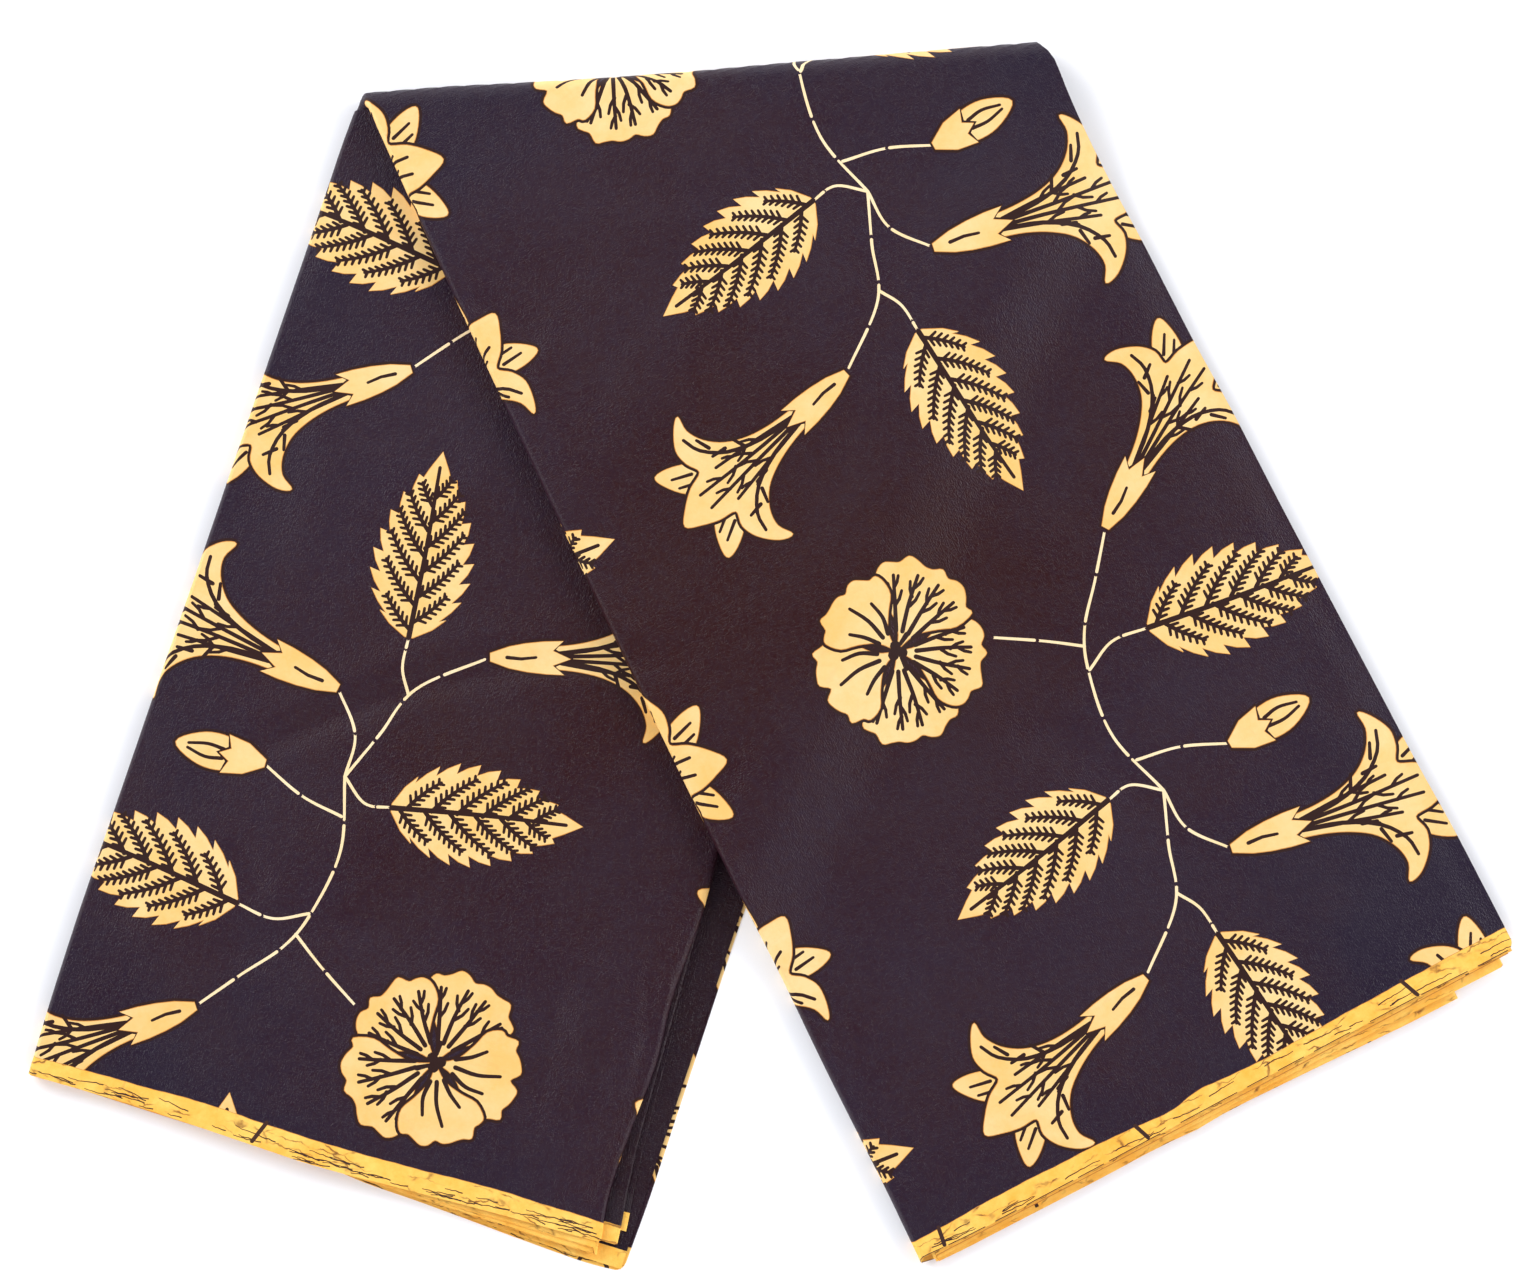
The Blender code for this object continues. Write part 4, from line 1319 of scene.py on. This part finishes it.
def band_shapes(leg, kind, low, high, rng):
    """The yellow band, its marks, its hairlines and, on the right leg, a painted shade line along the cut
    end.
    """
    sign = 1 if kind == "widest" else -1
    drawing = Drawing()

    def end(x):
        return float(past_end(leg, COVER_ENDS, x))

    def dye(x):
        wave = sum(size * math.sin(x * speed + start) for speed, start, size in DYE_WAVES)
        return float(past_end(leg, DYE_ENDS, x)) + wave * MM

    def marked(share, past):
        x = sign * (share * leg.open_reach[0] - NOSE_DEPTH + NOSE_ARC)
        return complex(x, float(leg.end_line(share * leg.open_reach[0])) + past * MM)

    xs = [mix(low, high, k / 120) for k in range(121)]
    edge = [complex(x, dye(x)) for x in xs]
    ends = [complex(x, end(x) + BAND_PAST_CUT) for x in reversed(xs)]
    drawing.shapes.append((BLEED_AND_EDGE_SHADE, [z - 0.3j * MM for z in edge] + ends))
    drawing.shapes.append((BAND, edge + ends))
    for tick in TICKS[leg.name, kind]:
        line = [marked(tick.from_share, tick.from_end), marked(tick.to_share, tick.to_end)]
        drawing.line(line, TICK_WIDTH, TICK_WIDTH, BAND_MARK_AND_SHADE_LINE)
    for _ in range(HAIRLINES[leg.name]):
        x, run = rng.uniform(low, high), rng.uniform(5, 22) * MM
        past = rng.choice(HAIRLINE_PLACES) * MM
        path = []
        for k in range(int(run / HAIRLINE_STEP) + 2):
            here = x + k * HAIRLINE_STEP
            if low < here < high:
                past += rng.uniform(-0.45, 0.45) * MM
                path.append(complex(here, end(here) - past))
        if len(path) > 3:
            drawing.line(path, *HAIRLINE, BAND_MARK_AND_SHADE_LINE)
    # painted shade: a broken dark line just inside the right leg's cut end
    while leg is RIGHT and xs:
        run = xs[:rng.randint(5, 14)]
        xs = xs[len(run) + rng.choice((0, 1, 1, 3)):]
        path = [complex(x, end(x) - 0.3 * MM) for x in run + run[-1:]]
        drawing.line(path, EDGE_SHADE_LINE, EDGE_SHADE_LINE, BAND_MARK_AND_SHADE_LINE)
    return drawing.shapes


print("selvedge bands:", len(COVER_ENDS))

# %% [markdown]
# Each leg's cover is built in two pieces that meet under the closed side, where no one looks: the
# half that shows and the half that lies below.

# %% The outer plies
EDGE_STEP = 5 * MM
# How far bend lines keep from the ends of the outline, and grid points from its edge
CLEAR = 0.3 * MM
CLEAR_OF_EDGE = 0.45 * GRID
# Down distances near the fold at which the narrow ply's reach is read and a corner is first sought
NEAR_FOLD = 0.12
FIRST_GUESS = 0.1
CORNER_ROUNDS = 12


def spaced(low, high, step=EDGE_STEP):
    """Evenly spaced values from low to high, about a step apart."""
    return np.linspace(low, high, max(2, int(math.ceil(abs(high - low) / step)) + 1))


def fold_start(leg, x, with_turn):
    """Down distance at which a cover starts: at the fold line, or at the far side of the turn."""
    across = np.where(-x - cover_straight(leg, NEAR_FOLD) > 0, leg.fold_reach[0], nose(x)[1])
    line = leg.fold_line(np.minimum(across, leg.fold_reach[0] * 1.02))
    return line - (TURN_DOWN if with_turn else -FOLD_GAP / 2 * TURN_DOWN / TURN_ARC)


def open_limit(leg, down, side):
    """Flat distance of a cover's open edge: the cut one, or the end of the narrow ply's return."""
    return cut_edge(leg, down) if side > 0 else -(cover_straight(leg, down) + BIG_ARC + BIG_RETURN)


def cover_outline(leg, side, inner, with_turn):
    """The flat outline of half a cover, from its inner line to its open edge and back."""
    def corner(down_of):
        x = open_limit(leg, FIRST_GUESS, side)
        for _ in range(CORNER_ROUNDS):
            x = open_limit(leg, down_of(x), side)
        return float(x)

    top = corner(lambda x: fold_start(leg, x, with_turn))
    low = corner(lambda x: cover_end(leg, x))
    xs_top, xs_low = spaced(inner, top), spaced(low, inner)
    if side > 0:
        bends = [low - CORNER_RADIUS * (1 - math.cos(k * math.pi / 16)) for k in range(8)]
        xs_low = np.concatenate((bends, xs_low[xs_low < low - CORNER_RADIUS]))
    ys_top, ys_low = fold_start(leg, xs_top, with_turn), cover_end(leg, xs_low)
    downs = spaced(float(ys_top[-1]), float(ys_low[0]))[1:-1]
    back = spaced(float(ys_low[-1]), float(ys_top[0]))[1:-1]
    return (joined(xs_top, ys_top) + joined(open_limit(leg, downs, side), downs)
            + joined(xs_low, ys_low) + [complex(inner, y) for y in back])


def inside_points(ring):
    """Grid points of a flat outline that keep clear of its edge."""
    low, high = box(ring)
    across, down = np.arange(low.real, high.real, GRID), np.arange(low.imag, high.imag, GRID)
    spots = (across[:, None] + 1j * down).ravel()
    nearest = np.min([abs(spots - z) for z in ring], axis=0)
    return list(spots[inside(ring, spots) & (nearest > CLEAR_OF_EDGE)])


def bend_lines(leg, ring, side):
    """Lines along the cloth that follow its tight bends, so that triangles don't cut across them."""
    box_low, box_high = box(ring)
    lines = []
    for x in np.linspace(-NOSE_ARC, NOSE_ARC, 9):
        if box_low.real + NUDGE < x < box_high.real - NUDGE:
            top = float(fold_start(leg, x, leg is RIGHT and side > 0))
            low = float(cover_end(leg, x))
            lines.append([complex(x, y) for y in spaced(top + CLEAR, low - CLEAR)])
    for bend in np.linspace(0, math.pi, 7) if side < 0 else ():
        line = []
        for y in spaced(box_low.imag, box_high.imag):
            x = -(float(cover_straight(leg, y)) + bend / math.pi * BIG_ARC)
            if fold_start(leg, x, False) + CLEAR < y < cover_end(leg, x) - CLEAR:
                line.append(complex(x, y))
        lines.append(line)
    return lines


def hand_over(cloth, replaced, flat):
    """State what a cloth stands for, what it lies on and how it was cut."""
    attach(cloth, "root")
    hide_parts(*replaced)
    faces = len(cloth.data.polygons)
    print(cloth.name, "has", faces, "faces; flat size", round(flat[0], 3), "x", round(flat[1], 3), "m")


def add_cover(name, leg, side, inner, replaced):
    """Build one half of a leg's outer ply."""
    ring = cover_outline(leg, side, inner, leg is RIGHT and side > 0)
    on_cloth = [to_print(leg, z) for z in ring]
    shapes = [(paint, [from_print(leg, z) for z in shape]) for paint, shape in printed(on_cloth)]
    kind = "widest" if side > 0 else "narrow"
    low, high = box(ring)
    shapes += band_shapes(leg, kind, low.real - 2 * MM, high.real + 2 * MM, random.Random(len(name)))
    ring_left = ring if turns_left(ring) else ring[::-1]
    flat, faces, paint = flat_mesh(ring_left, shapes, inside_points(ring), bend_lines(leg, ring, side))
    sign = -1 if leg is RIGHT else 1
    normals = folded_normals(lambda f: cover_point(leg, f), flat, sign)
    cover = cloth_object(name, flat, faces[:, ::sign], paint, cover_point(leg, flat), normals)
    size = high - low
    hand_over(cover, replaced, (size.real, size.imag))


add_cover("left_leg_upper_cloth", LEFT, -1, NOSE_ARC, ["left_leg_outer_ply"])
add_cover("left_leg_lower_cloth", LEFT, 1, NOSE_ARC, ["left_leg_outer_ply"])
add_cover("right_leg_upper_cloth", RIGHT, 1, -NOSE_ARC, ["right_leg_outer_ply", "top_fold_outer_ply"])
add_cover("right_leg_lower_cloth", RIGHT, -1, -NOSE_ARC, ["right_leg_outer_ply"])

# %% [markdown]
# Inside the covers lie fourteen more plies. Folding a strip in half again and again puts its
# lengths in a set order, the one that paper-folding puzzles use. `paper_order` works it out: the
# answer says which level each length of cloth takes, and whether it bends at the closed side or at
# the open one to reach the next.

# %% The order of the plies


def paper_order(folds):
    """The level, counted from 1, of each length of a strip that is folded in half this many times."""
    columns = [[k + 1] for k in range(2 ** folds)]
    while len(columns) > 1:
        half = len(columns) // 2
        columns = [columns[k] + columns[-1 - k][::-1] for k in range(half)]
    stack = columns[0]
    return [stack.index(length) + 1 for length in range(1, len(stack) + 1)]


ORDER = paper_order(4)
print("levels of the sixteen lengths:", ORDER)

# %% [markdown]
# One path through that order is the cross-section of the whole inside. A stop on the path has a
# level height and a place across the leg: a share of the flat run between the bends, and how far a
# bend bulges past it. The same path is then laid along the legs and round the top fold.

# %% Cross-section of the inner plies
MARK_SHARES = (0.172, 0.178, 0.832, 0.8385, 0.926, 0.9325)
FLAT_SHARES = tuple(sorted({k / 20 for k in range(21)} | {0.02, 0.98} | set(MARK_SHARES)))
BEND_STEPS = 5
GROUPS = {"big": (9, 16), "double": (5, 8), "small": (3, 4), "cut": (2, 2)}
BEND_WIDTHS = {"big": 1.8, "double": 1.5, "small": 1.6, "cut": 1.0}
SQUEEZE = 0.35
SQUEEZE_FROM = 0.06
Stop = namedtuple("Stop", "share bulge height group level")


def group_of(level):
    """The kind of open edge that a level ends in."""
    return next(name for name, (low, high) in GROUPS.items() if low <= level <= high)


def group_radius(name):
    """How far the outermost open bend of a group reaches out."""
    low, high = GROUPS[name]
    return (high - low) / 2 * PITCH * BEND_WIDTHS[name]


def cross_section(first_share):
    """All stops of the inner cloth, from where the cover's return ends to the cut end."""
    stops = []
    lengths = ORDER[2:]
    centre = STACK / 2
    for k, level in enumerate(lengths):
        opening = k % 2 == 1
        height = (level - 0.5) * PITCH
        for share in FLAT_SHARES if opening else FLAT_SHARES[::-1]:
            if k or share <= first_share:
                flatness = float(smooth(share / SQUEEZE_FROM) * smooth((1 - share) / SQUEEZE_FROM))
                squeezed = centre + (height - centre) * (1 - SQUEEZE * flatness)
                stops.append(Stop(share, 0.0, squeezed, group_of(level), level))
        if k == len(lengths) - 1:
            break
        other = (lengths[k + 1] - 0.5) * PITCH
        for step in range(1, BEND_STEPS):
            turn = math.pi * step / BEND_STEPS
            at = (height + other) / 2 + (height - other) / 2 * math.cos(turn)
            bulge = abs(other - height) / 2 * math.sin(turn) * (1 if opening else -1)
            stops.append(Stop(float(opening), bulge, at, group_of(level), level))
    return stops


INNER_PATH = cross_section(first_share=0.9325)
print("the inner cross-section has", len(INNER_PATH), "stops")

# %% [markdown]
# At the selvedge end every ply sticks out by its own amount, as the edges of a folded cloth never
# quite line up. Five groups of plies for each leg make the fan of yellow edges.

# %% The fan of the selvedge ends
# Levels from and to, and where they end past the straight end: share across, then millimetres
FAN = {
    "left": (
        (13, 15, ((0, .8), (.5, -.8), (.6, -1.4), (.8, -3.2), (1, -4.6))),
        (9, 12, ((0, .6), (.5, -1), (.6, -.4), (.8, -.6), (1, -1))),
        (5, 8, ((0, .4), (.5, -1.2), (.8, -4.5), (.93, -8.6), (1, -9.3))),
        (3, 4, ((0, .2), (.5, -1.4), (.8, -8), (.95, -16.5), (1, -17.2))),
        (2, 2, ((0, .3), (.5, -1), (.7, .8), (.9, 2), (1, 1.5))),
    ),
    "right": (
        (2, 2, ((0, 6.2), (.1, 7.5), (.3, 7.1), (.5, 6.3), (.85, 5.3), (1, 5.7))),
        (3, 4, ((0, 8.2), (.3, 8.2), (.7, 7.4), (.93, 6.6), (1, 6.2))),
        (5, 8, ((0, 9.8), (.3, 10), (.6, 9.6), (.9, 10.8), (1, 10.8))),
        (9, 14, ((0, 11), (.06, 11.8), (.3, 12), (.4, 11.4), (.45, 13), (.5, 11.4), (.65, 12.7), (.79, 14.4),
                 (.85, 14.6), (1, 14.8))),
        (15, 15, ((0, 9), (1, 9))),
    ),
}
FAN_STEP = 0.45
SELVEDGE_ZONE = 36 * MM
INNER_BAND = 9.4 * MM
# Printers' marks on the inner plies: level, and the share at which the mark starts
INNER_MARKS = {"left": ((11, 0.832), (6, 0.172)),
               "right": ((3, 0.926), (6, 0.926), (10, 0.832), (12, 0.172), (5, 0.172))}


def row_line(leg, v):
    """Closed-side points, unit steps to the open side and widths at shares v of the leg."""
    bow = leg.size.bow * 4 * v * (1 - v) + read(CLOSED_WAVES[leg.name], v)
    closed = leg.fold_closed + np.multiply.outer(v, leg.end_closed - leg.fold_closed)
    closed = closed - np.multiply.outer(bow, leg.across)
    way = leg.fold_open + np.multiply.outer(v, leg.end_open - leg.fold_open) - closed
    width = np.linalg.norm(way, axis=-1)
    return closed, way / width[..., None], width


def across_path(leg, path, v, width, stretch):
    """Distances of the path's stops from the closed side, at shares v of the leg."""
    out = []
    for stop, at, wide in zip(path, v, width):
        opened = wide + float(read(leg.edges[stop.group], at)) - group_radius(stop.group) * stretch
        bulge = stop.bulge * (BEND_WIDTHS[stop.group] if stop.bulge > 0 else NOSE_DEPTH / (STACK / 2))
        closed = NOSE_DEPTH * stretch + float(drawn_in(leg, at))
        out.append(mix(closed, opened, stop.share) + bulge * stretch)
    return np.array(out)


def row_places(leg, path, v):
    """The places of the path's stops, each at its own share v of the leg."""
    closed, way, width = row_line(leg, v)
    stretch = 1 / float(way[0] @ leg.across)
    reach = across_path(leg, path, v, width, stretch)
    height = np.array([stop.height for stop in path])
    return closed + reach[:, None] * way, STACK - height if leg.widest_on_top else height, reach / width


def own_ends(leg, path):
    """How far past the straight end each stop's ply ends."""
    share = np.clip(row_places(leg, path, np.ones(len(path)))[2], 0, 1)
    out = []
    for stop, at in zip(path, share):
        low, high, table = next(row for row in FAN[leg.name] if row[0] <= stop.level <= row[1])
        out.append(float(read(table, at)) - (stop.level - (low + high) / 2) % 2 * FAN_STEP * MM)
    return np.array(out), share


def inner_rows(leg, path, shares):
    """Rows of the path's places over the plain part of a leg."""
    rows = []
    for v in shares:
        p, height, _ = row_places(leg, path, np.full(len(path), v))
        if v == 0:
            p = p - FOLD_OUT * FOLD_GAP / 2
        rows.append(on_leg(leg, p, height))
    return np.array(rows)


def end_rows(leg, path, steps):
    """Rows of the path's places near the end: each step is a share of the zone or of the yellow band."""
    ends, share = own_ends(leg, path)
    length = mix(leg.size.closed_length, float(np.hypot(*(leg.end_open - leg.fold_open))), share)
    rows = []
    for in_band, part in steps:
        past = ends - INNER_BAND * (1 - part) if in_band else mix(-SELVEDGE_ZONE, ends - INNER_BAND, part)
        p, height, _ = row_places(leg, path, 1 + past / length)
        rows.append(on_leg(leg, p, height))
    return np.array(rows)


def turn_rows(path, steps):
    """The places of the path's stops round the top fold."""
    stretch = 1 / float(FOLD_AXIS @ RIGHT.across)
    count = len(path)
    reach = across_path(RIGHT, path, np.zeros(count), np.full(count, FOLD_LENGTH), stretch)
    openness = np.clip(reach / FOLD_LENGTH, 0, 1)
    drift = mix(TURN_DRIFT_CLOSED, TURN_DRIFT_OPEN, openness)
    radius = np.array([STACK - stop.height + FOLD_GAP / 2 for stop in path])
    rows = []
    for share in (step / steps for step in range(steps + 1)):
        angle = math.pi * (share - 0.5)
        run = reach + drift * (1 - 2 * turn_slide(1 - share, openness))
        rows.append(round_fold(run, openness, radius, math.cos(angle), math.sin(angle), FOLD_GAP / 2))
    return np.array(rows)


print("the fan has", {name: len(rows) for name, rows in FAN.items()}, "groups of plies")

# %% [markdown]
# A grid of rows becomes a thin closed cloth in the same way as the covers do. The distance along
# the path and down the leg are its flat coordinates, so the weave keeps its true scale inside too.

# %% Laying the inner plies
ROW_COUNT = 44
TURN_STEPS = 14
# Rows of the selvedge ends: whether the row is in the yellow band, and its share of that stretch
END_STEPS = ((False, 0.0), (False, 0.5), (False, 1.0), (True, 0.2), (True, 0.45), (True, 0.8), (True, 0.955),
             (True, 1.0))
# The first row of the yellow band, and the first row of the marks on it
BAND_ROW = 2
MARK_ROW = 4
# Levels whose last strip at the cut end takes the orange-brown bleed paint: painted shade where one ply
# overlaps the next
SHADED_EDGE_LEVELS = {"left": (8,), "right": (4, 8, 12, 14)}


def grid_cloth(name, rows, paint_of_cell, replaced):
    """A thin cloth through a grid of places, with a paint for each row and column of cells."""
    count_rows, count = rows.shape[:2]
    middle = rows[count_rows // 2]
    across = np.concatenate(([0], np.cumsum(np.linalg.norm(np.diff(middle, axis=0), axis=1))))
    down = np.concatenate(([0], np.cumsum(np.linalg.norm(np.diff(rows, axis=0), axis=2).mean(axis=1))))
    flat = np.array([(x, y) for y in down for x in across])
    index = np.arange(count_rows * count).reshape(count_rows, count)
    a, b, c, d = index[:-1, :-1], index[:-1, 1:], index[1:, 1:], index[1:, :-1]
    faces = np.concatenate([np.stack(corners, -1).reshape(-1, 3) for corners in ((a, b, c), (a, c, d))])
    paint = [paint_of_cell(row, column) for row in range(count_rows - 1) for column in range(count - 1)]
    normals = unit(np.cross(np.gradient(rows, axis=1), np.gradient(rows, axis=0)).reshape(-1, 3))
    cloth = cloth_object(name, flat, faces, np.array(paint + paint), rows.reshape(-1, 3), normals)
    hand_over(cloth, replaced, (float(across[-1]), float(down[-1])))


def plain_paint(row, column):
    """The ground with painted shade everywhere, as the inner plies lie in the shade of the outer ply."""
    return PAINTED_SHADE_GROUND


def selvedge_paint(leg):
    """Ground with painted shade, then the yellow band with its few marks and, at some plies' cut end, a
    painted shade line.
    """
    def paint(row, column):
        if row < BAND_ROW:
            return PAINTED_SHADE_GROUND
        first, last = INNER_PATH[column], INNER_PATH[column + 1]
        for level, share in INNER_MARKS[leg.name]:
            starts_here = abs(min(first.share, last.share) - share) < 1e-6
            if row >= MARK_ROW and level == first.level == last.level and starts_here:
                return BAND_MARK_AND_SHADE_LINE
        # painted shade: a thin orange-brown line at the cut end of these levels
        shaded_edge = row == len(END_STEPS) - 2 and first.level in SHADED_EDGE_LEVELS[leg.name]
        return BLEED_AND_EDGE_SHADE if shaded_edge else BAND
    return paint


for leg in (LEFT, RIGHT):
    split = 1 - SELVEDGE_ZONE / leg.size.closed_length
    main = [k / ROW_COUNT for k in range(ROW_COUNT) if k / ROW_COUNT < split - 0.01]
    rows = np.concatenate((inner_rows(leg, INNER_PATH, main), end_rows(leg, INNER_PATH, END_STEPS[:1])))
    grid_cloth(f"{leg.name}_leg_inner_cloth", rows, plain_paint,
               [f"{leg.name}_leg_inner_plies"])
    grid_cloth(f"{leg.name}_selvedge_ends", end_rows(leg, INNER_PATH, END_STEPS), selvedge_paint(leg),
               [f"{leg.name}_end_selvedges"])
grid_cloth("top_fold_inner_cloth", turn_rows(INNER_PATH, TURN_STEPS), plain_paint,
           ["top_fold_inner_plies"])

# %% [markdown]

# %% Finish
print("the model is built")
